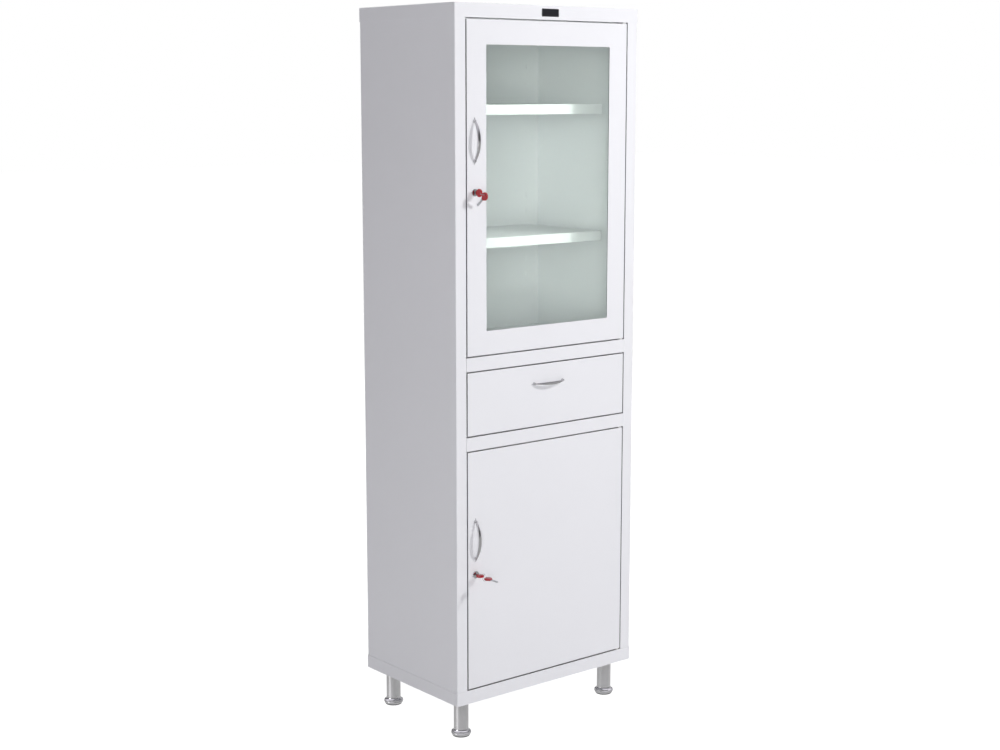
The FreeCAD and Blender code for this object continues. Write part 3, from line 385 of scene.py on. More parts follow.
@dataclass(frozen=True)
class CoatFinish(Finish):
    """Powder coat or moulded plastic: a pebbled skin, a drift in tone, a little dust and, where given,
    painted shade on the gap edges.
    """

    pebbles: float = 260.0
    relief: float = 0.3
    drift: float = 0.012
    dust: float = 0.25
    gloss_coat: float = 0.0
    gaps: Optional[GapShade] = None
    patches: float = 5.0
    spread: float = 0.08
    depth: float = 0.4 * MM

    def make(self, shelf: EffectShelf) -> bpy.types.Material:
        """Make the material.

        Args:
            shelf: the shared groups.

        Returns:
            The material.
        """
        material, wiring, shader, coordinates = self.begin()
        place = coordinates["Object"]
        shader.inputs["Coat Weight"].default_value = self.gloss_coat
        tone = shelf.use(
            wiring, Effect.TONE, Vector=place, Color=rgba(self.colour), Scale=self.patches,
            Amount=self.drift,
        )
        peel = shelf.use(
            wiring, Effect.PEEL, Vector=place, Scale=self.pebbles, Roughness=self.roughness,
            Spread=self.spread,
        )
        dust = shelf.use(
            wiring, Effect.DUST, Vector=place, Color=tone["Color"], Roughness=peel["Roughness"],
            Dust=rgba(DUST_GREY), Amount=self.dust,
        )
        # painted shade on the folded edges that line the door and drawer gaps
        colour = self.gaps.lay(wiring, coordinates, dust["Color"]) if self.gaps else dust["Color"]
        wiring.feed(shader.inputs["Base Color"], colour)
        wiring.feed(shader.inputs["Roughness"], dust["Roughness"])
        self.raise_skin(wiring, shader, peel["Height"], self.relief, self.depth)
        return material


@dataclass(frozen=True)
class MetalFinish(Finish):
    """Bare or plated metal with lines that run along one axis."""

    stretch: Spot = (1.0, 1.0, 1.0)
    lines: float = 420.0
    spread: float = 0.1
    relief: float = 0.05
    drift: float = 0.05
    brushed: float = 0.0
    patches: float = 40.0
    depth: float = 0.2 * MM

    def make(self, shelf: EffectShelf) -> bpy.types.Material:
        """Make the material.

        Args:
            shelf: the shared groups.

        Returns:
            The material.
        """
        material, wiring, shader, coordinates = self.begin()
        place = coordinates["Object"]
        shader.inputs["Metallic"].default_value = 1.0
        if self.brushed:
            shader.inputs["Anisotropic"].default_value = self.brushed
            wiring.feed(shader.inputs["Tangent"], wiring.add("ShaderNodeCombineXYZ", Z=1.0).outputs[0])
        drawn = wiring.add("ShaderNodeMapping", Vector=place, Scale=self.stretch).outputs[0]
        tone = shelf.use(
            wiring, Effect.TONE, Vector=place, Color=rgba(self.colour), Scale=self.patches,
            Amount=self.drift,
        )
        grain = shelf.use(
            wiring, Effect.GRAIN, Vector=drawn, Scale=self.lines, Roughness=self.roughness,
            Spread=self.spread,
        )
        wiring.feed(shader.inputs["Base Color"], tone["Color"])
        wiring.feed(shader.inputs["Roughness"], grain["Roughness"])
        self.raise_skin(wiring, shader, grain["Height"], self.relief, self.depth)
        return material


@dataclass(frozen=True)
class GlassFinish(Finish):
    """Float glass with a grey-green body tint and a faint smear of handling."""

    lamp_tint: Colour = (0.9, 0.92, 0.885)
    index: float = 1.46
    patches: float = 3.0
    drift: float = 0.01

    def make(self, shelf: EffectShelf) -> bpy.types.Material:
        """Make the material, which lets the lamps through.

        Args:
            shelf: the shared groups.

        Returns:
            The material.
        """
        material, wiring, shader, coordinates = self.begin()
        place = coordinates["Object"]
        shader.inputs["Transmission Weight"].default_value = 1.0
        shader.inputs["IOR"].default_value = self.index
        tone = shelf.use(
            wiring, Effect.TONE, Vector=place, Color=rgba(self.colour), Scale=self.patches,
            Amount=self.drift,
        )
        wiring.feed(shader.inputs["Base Color"], tone["Color"])
        passing = wiring.add("ShaderNodeBsdfTransparent", Color=rgba(self.lamp_tint))
        wiring.either(wiring.add("ShaderNodeLightPath").outputs["Is Shadow Ray"], shader, passing)
        return material


DOOR_LOW, DOOR_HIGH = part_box("lower_door_panel")
DOOR_GAP = 3 * MM
# painted shade band on the folded edges just behind the door faces, reaching just past the doors' sides
DOOR_GAP_SHADE = GapShade(face=DOOR_LOW.y, reach=DOOR_HIGH.x + DOOR_GAP + 1 * MM)


class Look(Enum):
    """Every finish on the cabinet."""

    # the white coat carries painted shade on the edges that line the door and drawer gaps
    COAT = CoatFinish("white powder coat", (0.86, 0.863, 0.89), 0.42, gaps=DOOR_GAP_SHADE)
    SATIN = MetalFinish(
        "satin steel", (0.86, 0.86, 0.86), 0.45, stretch=(1.0, 1.0, 0.02), spread=0.05, brushed=0.85,
    )
    POLISH = MetalFinish("polished steel", (0.7, 0.7, 0.71), 0.12, spread=0.04, relief=0.02)
    CHROME = MetalFinish("satin chrome", (0.56, 0.56, 0.57), 0.16, spread=0.05, relief=0.02)
    ZINC = MetalFinish("bright zinc", (0.55, 0.56, 0.58), 0.34, lines=160.0, spread=0.14, drift=0.12)
    RED = CoatFinish("red moulding", (0.42, 0.005, 0.013), 0.35, 900.0, 0.05, 0.06, 0.0, 0.12)
    NYLON = CoatFinish("white nylon", (0.78, 0.78, 0.76), 0.5, 700.0, 0.06, 0.02, 0.1)
    GLIDE = CoatFinish("grey polymer", (0.05, 0.05, 0.055), 0.6, 600.0, 0.1, 0.05, 0.1)
    RUBBER = CoatFinish("grey rubber", (0.12, 0.12, 0.122), 0.75, 800.0, 0.15, 0.08, 0.2)
    BADGE = MetalFinish("grey anodised plate", (0.09, 0.09, 0.1), 0.38, stretch=(0.03, 1.0, 1.0))
    GLASS = GlassFinish("grey-green float glass", (0.86, 0.915, 0.88), 0.01)


class Paintbox:
    """Makes each look's material once and hands it out."""

    def __init__(self) -> None:
        """Build the shared effects."""
        self.shelf = EffectShelf()
        self.made: dict[Look, bpy.types.Material] = {}

    def get(self, look: Look) -> bpy.types.Material:
        """Give a look's material.

        Args:
            look: the finish.

        Returns:
            Its material.
        """
        if look not in self.made:
            self.made[look] = look.value.make(self.shelf)
        return self.made[look]


# Mesh helpers

def new_piece(name: str, mesh: bpy.types.Mesh) -> bpy.types.Object:
    """Put a mesh in the scene.

    Args:
        name: the piece's name.
        mesh: its mesh, already in place.

    Returns:
        The object.
    """
    piece = bpy.data.objects.new(name, mesh)
    bpy.context.scene.collection.objects.link(piece)
    return piece


def settle(work: bmesh.types.BMesh, mesh: bpy.types.Mesh) -> bpy.types.Mesh:
    """Join points that share a spot, turn the faces outwards and write the work mesh out.

    Args:
        work: the work mesh, which is used up.
        mesh: the mesh that it is written to.

    Returns:
        The same mesh.
    """
    bmesh.ops.remove_doubles(work, verts=work.verts, dist=SAME_SPOT)
    bmesh.ops.recalc_face_normals(work, faces=work.faces)
    work.to_mesh(mesh)
    work.free()
    return mesh


def baked(holder: bpy.types.Object, name: str) -> bpy.types.Mesh:
    """Keep what an object evaluates to as a plain mesh.

    Args:
        holder: the object, which is used up.
        name: the new mesh's name.

    Returns:
        The mesh.
    """
    graph = bpy.context.evaluated_depsgraph_get()
    mesh = bpy.data.meshes.new_from_object(holder.evaluated_get(graph))
    bpy.data.objects.remove(holder)
    mesh.name = name
    return mesh


def skin(name: str, rings: Sequence[Sequence[Vector]], closed_ends: bool = True) -> bpy.types.Mesh:
    """Join closed rings of points into a skin.

    Args:
        name: the mesh's name.
        rings: rings with the same number of points, in order.
        closed_ends: whether the first and last ring get a face; otherwise they join each other.

    Returns:
        The mesh, with its faces outwards.
    """
    work = bmesh.new()
    rows = [[work.verts.new(point) for point in ring] for ring in rings]
    count = len(rows[0])
    for near, far in zip(rows, rows[1:] if closed_ends else rows[1:] + rows[:1]):
        for index in range(count):
            following = (index + 1) % count
            work.faces.new((near[index], near[following], far[following], far[index]))
    if closed_ends:
        work.faces.new(list(reversed(rows[0])))
        work.faces.new(rows[-1])
    return settle(work, bpy.data.meshes.new(name))


def smooth(mesh: bpy.types.Mesh, crease_deg: float = CREASE_DEG) -> bpy.types.Mesh:
    """Shade a mesh smooth, with sharp edges past an angle.

    Args:
        mesh: the mesh.
        crease_deg: the angle in degrees.

    Returns:
        The same mesh.
    """
    mesh.shade_smooth()
    mesh.set_sharp_from_angle(angle=math.radians(crease_deg))
    return mesh


def rounded_rectangle(
    half_x: float, half_y: float, corner: float, steps: int = 4, ease: float = 1.0,
) -> list[Point]:
    """List points round a rectangle with round corners.

    Args:
        half_x: half its size one way.
        half_y: half its size the other way.
        corner: radius of its corners.
        steps: spans in each corner.
        ease: flat strip beside each corner, which keeps the shading of the sides flat.

    Returns:
        The points, about the rectangle's middle.
    """
    points = []
    for quarter, (sx, sy) in enumerate(((1, 1), (-1, 1), (-1, -1), (1, -1))):
        centre = (sx * (half_x - corner), sy * (half_y - corner))
        arc = arc_points(centre, corner, 90.0 * quarter, 90.0 * quarter + 90.0, steps)
        turn = math.pi / 2 * quarter
        came, goes = (-math.sin(turn), math.cos(turn)), (-math.cos(turn), -math.sin(turn))
        points.append((arc[0][0] - came[0] * ease, arc[0][1] - came[1] * ease))
        points += arc
        points.append((arc[-1][0] + goes[0] * ease, arc[-1][1] + goes[1] * ease))
    return points


def folded(
    path: Sequence[Point], gauge: float, bend: float, steps: int = 4, ease: float = 1.0,
) -> list[Point]:
    """Give the outline of a sheet folded along a path of square bends.

    Args:
        path: the points of the sheet's one skin, whose metal lies to the right of the way along it.
        gauge: the sheet's thickness.
        bend: the outer radius of each bend.
        steps: spans in each bend.
        ease: flat strip beside each bend, which keeps the shading of the sheet flat.

    Returns:
        The closed outline.
    """
    spots = [Vector(point) for point in path]
    ways = [(far - near).normalized() for near, far in zip(spots, spots[1:])]
    rights = [Vector((way.y, -way.x)) for way in ways]
    skin_line, back_line = [spots[0]], [spots[0] + rights[0] * gauge]
    for spot, came, goes in zip(spots[1:], ways, ways[1:]):
        right_turn = came.cross(goes) < 0
        radius, back = (bend, bend - gauge) if right_turn else (bend - gauge, bend)
        centre = spot - came * radius + goes * radius
        turns = [math.pi / 2 * step / steps for step in range(steps + 1)]
        for line, reach in ((skin_line, radius), (back_line, back)):
            line.append(centre - goes * reach - came * ease)
            line += [centre + (came * math.sin(turn) - goes * math.cos(turn)) * reach for turn in turns]
            line.append(centre + came * reach + goes * ease)
    skin_line.append(spots[-1])
    back_line.append(spots[-1] + rights[-1] * gauge)
    return [tuple(point) for point in skin_line + back_line[::-1]]


def merged(name: str, parts: Sequence[bpy.types.Mesh]) -> bpy.types.Mesh:
    """Join meshes into one.

    Args:
        name: the new mesh's name.
        parts: the meshes, which are used up.

    Returns:
        The mesh.
    """
    work = bmesh.new()
    for part in parts:
        work.from_mesh(part)
        bpy.data.meshes.remove(part)
    mesh = bpy.data.meshes.new(name)
    work.to_mesh(mesh)
    work.free()
    return mesh


def block(low: Vector, high: Vector) -> bpy.types.Mesh:
    """Make a plain block.

    Args:
        low: its lower corner.
        high: its upper corner.

    Returns:
        The mesh.
    """
    corners = [(low.x, low.y), (high.x, low.y), (high.x, high.y), (low.x, high.y)]
    return skin("block", [[Vector((x, y, z)) for x, y in corners] for z in (low.z, high.z)])


def lathe(name: str, profile: Sequence[Point], steps: int = 48) -> bpy.types.Mesh:
    """Turn a profile round the Z axis.

    Args:
        name: the mesh's name.
        profile: radius and height pairs in millimetres, from one end to the other.
        steps: how many sides.

    Returns:
        The mesh.
    """
    rings = []
    for radius, height in profile:
        turns = (2 * math.pi * step / steps for step in range(steps))
        rings.append([Vector((radius * math.cos(a), radius * math.sin(a), height)) * MM for a in turns])
    return smooth(skin(name, rings))


def arc_points(middle: Point, radius: float, start: float, end: float, steps: int) -> list[Point]:
    """List points on an arc.

    Args:
        middle: the arc's middle.
        radius: its radius.
        start: its first angle in degrees.
        end: its last angle in degrees.
        steps: how many spans.

    Returns:
        The points.
    """
    found = []
    for step in range(steps + 1):
        angle = math.radians(start + (end - start) * step / steps)
        found.append((middle[0] + radius * math.cos(angle), middle[1] + radius * math.sin(angle)))
    return found


def curve_mesh(
    name: str, splines: Iterable[Sequence[Vector]], closed: bool, **settings: Any,
) -> bpy.types.Mesh:
    """Make a mesh of a curve with polygon splines.

    Args:
        name: the mesh's name.
        splines: the splines' points in metres.
        closed: whether they close.
        settings: attributes of the curve, such as its bevel depth.

    Returns:
        The mesh.
    """
    curve = bpy.data.curves.new(name, "CURVE")
    for key, value in settings.items():
        setattr(curve, key, value)
    for points in splines:
        spline = curve.splines.new("POLY")
        spline.points.add(len(points) - 1)
        for point, spot in zip(spline.points, points):
            point.co = (*spot, 1.0)
        spline.use_cyclic_u = closed
    holder = bpy.data.objects.new(f"{name}_curve", curve)
    bpy.context.scene.collection.objects.link(holder)
    mesh = baked(holder, name)
    bpy.data.curves.remove(curve)
    work = bmesh.new()
    work.from_mesh(mesh)
    return smooth(settle(work, mesh))


# Geometry Nodes for what repeats

class Pattern:
    """A Geometry Nodes tree that sets copies of a mesh on grids of points."""

    def __init__(self, name: str, inputs: dict[str, str]) -> None:
        """Start the tree.

        Args:
            name: its name.
            inputs: socket types by name, beside the geometry.
        """
        self.tree = bpy.data.node_groups.new(name, "GeometryNodeTree")
        face = self.tree.interface
        face.new_socket("Geometry", in_out="INPUT", socket_type="NodeSocketGeometry")
        self.sockets = {}
        for key, kind in inputs.items():
            self.sockets[key] = face.new_socket(key, in_out="INPUT", socket_type=kind)
        face.new_socket("Geometry", in_out="OUTPUT", socket_type="NodeSocketGeometry")
        self.wiring = Wiring(self.tree)
        self.given = self.wiring.add("NodeGroupInput").outputs
        self.out = self.wiring.add("NodeGroupOutput")

    def grid(self, across: Any, along: Any) -> bpy.types.NodeSocket:
        """Add four points at the corners of a rectangle.

        Args:
            across: its size along X.
            along: its size along Y.

        Returns:
            The points' geometry.
        """
        sizes = {"Size_X": across, "Size_Y": along}
        return self.wiring.add("GeometryNodeMeshGrid", Vertices_X=2, Vertices_Y=2, **sizes).outputs["Mesh"]

    def copies(self, points: bpy.types.NodeSocket, shape: bpy.types.NodeSocket) -> bpy.types.NodeSocket:
        """Set a real copy of a shape on each point.

        Args:
            points: where the copies go.
            shape: what is copied.

        Returns:
            The copies' geometry.
        """
        put = self.wiring.add("GeometryNodeInstanceOnPoints", Points=points, Instance=shape)
        return self.wiring.add("GeometryNodeRealizeInstances", Geometry=put.outputs["Instances"]).outputs[0]

    def shift(self, geometry: bpy.types.NodeSocket, offset: Any) -> bpy.types.NodeSocket:
        """Move a geometry by an offset."""
        return self.wiring.add("GeometryNodeTransform", Geometry=geometry, Translation=offset).outputs[0]

    def paint(self, geometry: bpy.types.NodeSocket, material: Any) -> bpy.types.NodeSocket:
        """Give a geometry a material."""
        return self.wiring.add("GeometryNodeSetMaterial", Geometry=geometry, Material=material).outputs[0]

    def finish(self, geometry: bpy.types.NodeSocket) -> None:
        """Send a geometry to the tree's output."""
        self.wiring.feed(self.out.inputs[0], geometry)

    def grow(self, name: str, seed: bpy.types.Mesh, values: dict[str, Any]) -> bpy.types.Object:
        """Run the tree on a mesh and keep the result as a plain mesh.

        Args:
            name: the new piece's name.
            seed: the mesh that is copied.
            values: the tree's inputs by name.

        Returns:
            The piece.
        """
        holder = new_piece(f"{name}_seed", seed)
        modifier = holder.modifiers.new("pattern", "NODES")
        modifier.node_group = self.tree
        for key, value in values.items():
            modifier[self.sockets[key].identifier] = value
        return new_piece(name, baked(holder, name))


# Sub-assemblies

@dataclass
class Assembly:
    """What every sub-assembly can do: place new pieces and dress CAD nodes."""

    paints: Paintbox

    def seat(self, piece: bpy.types.Object, body: str, slot: str, look: Optional[Look], *nodes: str) -> None:
        """Make a new piece ride on a body in place of CAD nodes.

        Args:
            piece: the piece.
            body: the body that carries it.
            slot: the record's material slot; not used.
            look: its finish, or None if it has its materials already.
            nodes: the nodes that it stands for.
        """
        if look is not None:
            piece.data.materials.clear()
            piece.data.materials.append(self.paints.get(look))
        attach(piece, body)
        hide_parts(*nodes)
        LOG.info("made %s on %s", piece.name, body)

    def dress(self, look: Look, *nodes: str, bend_mm: float = 0.0) -> None:
        """Finish CAD nodes, with softened bends where asked.

        Args:
            look: the finish.
            nodes: the nodes' names.
            bend_mm: radius of the softened edges in millimetres.
        """
        for name in nodes:
            node = frame["nodes"][name]
            node.data.materials.clear()
            node.data.materials.append(self.paints.get(look))
            if bend_mm:
                weld = node.modifiers.new("weld", "WELD")
                weld.merge_threshold = WELD_REACH
                bevel = node.modifiers.new("bends", "BEVEL")
                bevel.width = bend_mm * MM
                bevel.segments = BEND_SEGMENTS
                bevel.limit_method = "ANGLE"
                bevel.angle_limit = math.radians(CREASE_DEG)
                bevel.use_clamp_overlap = True
            LOG.info("dressed %s", name)


@dataclass
class Case(Assembly):
    """The folded steel case, its shelves and its bare badge plate."""

    gauge: float = 1.2
    fold: float = 2.0
    ease: float = 1.0
    bend: float = 0.5
    strike_lip: float = 10.0
    strike_depth: float = 24.0
    rear_flange: float = 20.0
    return_depth: float = 23.0
    strip_width: float = 16.0
    strip_gauge: float = 0.8
    strip_below: float = 200.0
    strip_above: float = 30.0
    slot_inset: float = 1.25
    badge_corner: float = 2.0
    badge_rim: float = 1.2
    badge_edge: float = 0.3
    badge_sink: float = 0.4
    badge_crease_deg: float = 25.0
    least_corner: float = 0.3
    least_field: float = 100.0

    def side(self, name: str, sign: int) -> None:
        """Fold a side: rear flange, wall, front stile and strike lip from one sheet.

        Args:
            name: the node's name.
            sign: -1 for the left side, 1 for the right.
        """
        low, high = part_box(name)
        outer = max(abs(low.x), abs(high.x)) / MM
        edge = min(abs(low.x), abs(high.x)) / MM + self.strike_lip
        face, rear = low.y / MM, high.y / MM
        strike = face + self.strike_depth
        path = [(outer - self.rear_flange, rear), (outer, rear), (outer, face), (edge, face), (edge, strike),
                (edge - self.strike_lip, strike)]
        outline = folded(path, self.gauge, self.fold)
        rings = [[Vector((sign * x * MM, y * MM, z)) for x, y in outline] for z in (low.z, high.z)]
        piece = new_piece(f"{name}_folded", smooth(skin(name, rings)))
        self.seat(piece, "cabinet", "white_coat", Look.COAT, name)

    def lid(self, name: str) -> bpy.types.Mesh:
        """Press a plate with a skirt on every side and soft edges.

        Args:
            name: the node that it stands for.

        Returns:
            The mesh.
        """
        low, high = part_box(name)
        middle, half = (low + high) / 2, (high - low) / 2 / MM

        def ring(inset: float, height: float) -> list[Vector]:
            """Give the plan outline at an inset and a height."""
            corner = max(self.fold - inset, INNER_CORNER)
            points = rounded_rectangle(half.x - inset, half.y - inset, corner)
            return [Vector((middle.x + x * MM, middle.y + y * MM, height)) for x, y in points]

        gauge, fold = self.gauge, self.fold
        flat = fold + self.ease
        rings = [ring(gauge, high.z - gauge * MM), ring(gauge, low.z), ring(0.0, low.z)]
        rings.append(ring(0.0, high.z - flat * MM))
        for across, up in arc_points((fold, -fold), fold, 180.0, 90.0, 4):
            rings.append(ring(across, high.z + up * MM))
        rings.append(ring(flat, high.z))
        return smooth(skin(name, rings))

    def bands(self) -> None:
        """Build the top cap, with its return over the glazed door, and the base."""
        low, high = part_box("top_cap")
        edge = DOOR_HIGH.x + DOOR_GAP
        strip = block(
            Vector((-edge, DOOR_LOW.y, low.z)),
            Vector((edge, DOOR_LOW.y + self.return_depth * MM, low.z + self.gauge * MM)),
        )
        cap = merged("top_cap_pressed", [self.lid("top_cap"), strip])
        self.seat(new_piece("top_cap_pressed", cap), "cabinet", "white_coat", Look.COAT, "top_cap")
        base = new_piece("base_tray_pressed", self.lid("base_tray"))
        self.seat(base, "cabinet", "white_coat", Look.COAT, "base_tray")

    def slot_strips(self) -> None:
        """Back the two columns of bracket slots with strips behind the rear panel."""
        low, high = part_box("rear_panel")
        lane_low, lane_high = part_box("shelf_brackets")
        reach = (lane_high.x - lane_low.x) / 2
        half = self.strip_width / 2 * MM
        foot, head = lane_low.z - self.strip_below * MM, high.z - self.strip_above * MM
        strips = []
        for sign in (-1, 1):
            x = sign * (reach - self.slot_inset * MM)
            far = Vector((x + half, high.y + self.strip_gauge * MM, head))
            strips.append(block(Vector((x - half, high.y, foot)), far))
        piece = new_piece("slot_backing_strips", merged("slot_backing_strips", strips))
        piece.data.materials.append(self.paints.get(Look.COAT))
        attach(piece, "cabinet")
        LOG.info("made %s on cabinet", piece.name)

    def badge(self) -> None:
        """Build the bare plate on the top band: a bright rim round a dark sunk field."""
        low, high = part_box("badge_plate")
        middle = (low + high) / 2
        half_x, half_z = (high.x - low.x) / 2 / MM, (high.z - low.z) / 2 / MM

        def ring(inset: float, depth: float) -> list[Vector]:
            """Give the plate's outline at an inset and a depth behind its front."""
            corner = max(self.badge_corner - inset, self.least_corner)
            points = rounded_rectangle(half_x - inset, half_z - inset, corner)
            return [Vector((middle.x + x * MM, low.y + depth * MM, middle.z + z * MM)) for x, z in points]

        thick = (high.y - low.y) / MM
        edge, rim = self.badge_edge, self.badge_rim
        rings = [ring(0.0, thick), ring(0.0, edge), ring(edge, 0.0), ring(rim, 0.0)]
        rings.append(ring(rim + edge, self.badge_sink))
        mesh = smooth(skin("badge", rings), self.badge_crease_deg)
        for look in (Look.POLISH, Look.BADGE):
            mesh.materials.append(self.paints.get(look))
        least = self.least_field * MM * MM
        field = max(mesh.polygons, key=lambda face: (face.area > least, -face.center.y))
        field.material_index = 1
        self.seat(new_piece("badge", mesh), "cabinet", "satin_steel", None, "badge_plate")

    def build(self) -> None:
        """Dress the case."""
        self.side("side_panel_left", -1)
        self.side("side_panel_right", 1)
        self.bands()
        self.slot_strips()
        bent = ("lower_rail", "upper_rail", "upper_shelf", "middle_shelf", "lower_shelf")
        self.dress(Look.COAT, *bent, bend_mm=self.bend)
        self.dress(Look.COAT, "rear_panel", "shelf_brackets")
        self.dress(Look.COAT, "drawer_compartment_floor", "upper_compartment_floor")
        self.dress(Look.RUBBER, "door_buffers")
        self.dress(Look.ZINC, "hinge_pins", "slide_fixed_channels", "slide_middle_channels")
        self.badge()


@dataclass
class Legs(Assembly):
    """Four turned legs on the base, with plates, screws and glides."""

    foot_line: float = 21.0
    tube_radius: float = 19.0
    tube_bore: float = 17.5
    tube_start: float = 22.0
    sole: float = 3.0
    sole_radius: float = 24.4
    sole_edge: float = 0.8
    sole_rise: float = 2.0
    rim_middle: Point = (23.2, 8.2)
    rim_radius: float = 2.8
    rim_sweep_deg: float = 50.0
    flare_radius: float = 9.0
    flare_top: float = 20.5
    flare_start_deg: float = 250.0
    bore_floor: float = 8.0
    arc_steps: int = 8
    screw_pitch: float = 52.0
    screw_head: float = 4.5
    screw_head_height: float = 2.5
    screw_shank: float = 2.5
    screw_socket: float = 1.7
    screw_socket_depth: float = 1.4
    screw_crown: tuple[Point, ...] = ((3.7, 0.1), (4.4, 0.9))

    def places(self) -> tuple[Vector, Vector]:
        """Find the legs' middles.

        Returns:
            The point between the four legs on the floor, and the spacing along X and Y.
        """
        near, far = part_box("leg_front_left"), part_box("leg_rear_right")
        first, last = (near[0] + near[1]) / 2, (far[0] + far[1]) / 2
        middle = (first + last) / 2
        return Vector((middle.x, middle.y, 0.0)), last - first

    def turned_leg(self) -> bpy.types.Mesh:
        """Turn one leg: a trumpet foot with a rolled rim under a plain tube."""
        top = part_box("leg_front_left")[1].z / MM
        tube, bore, wide, sole = self.tube_radius, self.tube_bore, self.sole_radius, self.sole
        profile = [(0.0, sole), (wide - self.sole_edge, sole), (wide, sole + self.sole_edge / 2)]
        profile.append((wide, sole + self.sole_rise))
        sweep = self.rim_sweep_deg
        profile += arc_points(self.rim_middle, self.rim_radius, -sweep, sweep, self.arc_steps)
        middle = (tube + self.flare_radius, self.flare_top)
        profile += arc_points(middle, self.flare_radius, self.flare_start_deg, 180.0, self.arc_steps)
        profile += [(tube, self.tube_start), (tube, top), (bore, top)]
        profile += [(bore, self.bore_floor), (0.0, self.bore_floor)]
        return lathe("leg", profile, 64)

    def build(self) -> None:
        """Build the legs and screws, and dress the rest."""
        middle, spacing = self.places()
        rows = Pattern("leg places", {
            "Across": FLOAT, "Along": FLOAT, "Middle": VECTOR, "Foot Line": FLOAT,
            "Tube": "NodeSocketMaterial", "Foot": "NodeSocketMaterial",
        })
        given, wiring = rows.given, rows.wiring
        standing = rows.copies(rows.grid(given["Across"], given["Along"]), given["Geometry"])
        painted = rows.paint(rows.shift(standing, given["Middle"]), given["Tube"])
        spot = wiring.add("GeometryNodeInputPosition").outputs[0]
        height = wiring.add("ShaderNodeSeparateXYZ", Vector=spot).outputs["Z"]
        low = wiring.math("LESS_THAN", height, given["Foot Line"])
        feet = wiring.add("GeometryNodeSetMaterial", Geometry=painted, Selection=low, Material=given["Foot"])
        rows.finish(feet.outputs[0])
        legs = rows.grow("legs", self.turned_leg(), {
            "Across": spacing.x, "Along": spacing.y, "Middle": middle, "Foot Line": self.foot_line * MM,
            "Tube": self.paints.get(Look.SATIN), "Foot": self.paints.get(Look.POLISH),
        })
        names = [f"leg_{row}_{side}" for row in ("front", "rear") for side in ("left", "right")]
        self.seat(legs, "cabinet", "satin_steel", None, *names)
        self.screws(middle, spacing)
        self.dress(Look.SATIN, "leg_plates")
        self.dress(Look.GLIDE, "leg_glides")

    def screws(self, middle: Vector, spacing: Vector) -> None:
        """Set four socket screws round each leg.

        Args:
            middle: the point between the four legs.
            spacing: between the legs along X and Y.
        """
        low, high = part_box("leg_screws")
        tall = (high.z - low.z) / MM
        socket, deep, shank = self.screw_socket, self.screw_socket_depth, self.screw_shank
        profile = [(0.0, deep), (socket, deep), (socket, 0.0), *self.screw_crown]
        profile += [(self.screw_head, self.screw_head_height), (shank, self.screw_head_height)]
        profile += [(shank, tall), (0.0, tall)]
        rows = Pattern("leg screw places", {
            "Across": FLOAT, "Along": FLOAT, "Pitch": FLOAT, "Middle": VECTOR, "Metal": "NodeSocketMaterial",
        })
        given = rows.given
        corners = rows.grid(given["Pitch"], given["Pitch"])
        spots = rows.copies(rows.grid(given["Across"], given["Along"]), corners)
        set_in = rows.shift(rows.copies(spots, given["Geometry"]), given["Middle"])
        rows.finish(rows.paint(set_in, given["Metal"]))
        screws = rows.grow("leg_socket_screws", lathe("leg_screw", profile, 12), {
            "Across": spacing.x, "Along": spacing.y, "Pitch": self.screw_pitch * MM,
            "Middle": Vector((middle.x, middle.y, low.z)), "Metal": self.paints.get(Look.ZINC),
        })
        self.seat(screws, "cabinet", "zinc_steel", None, "leg_screws")


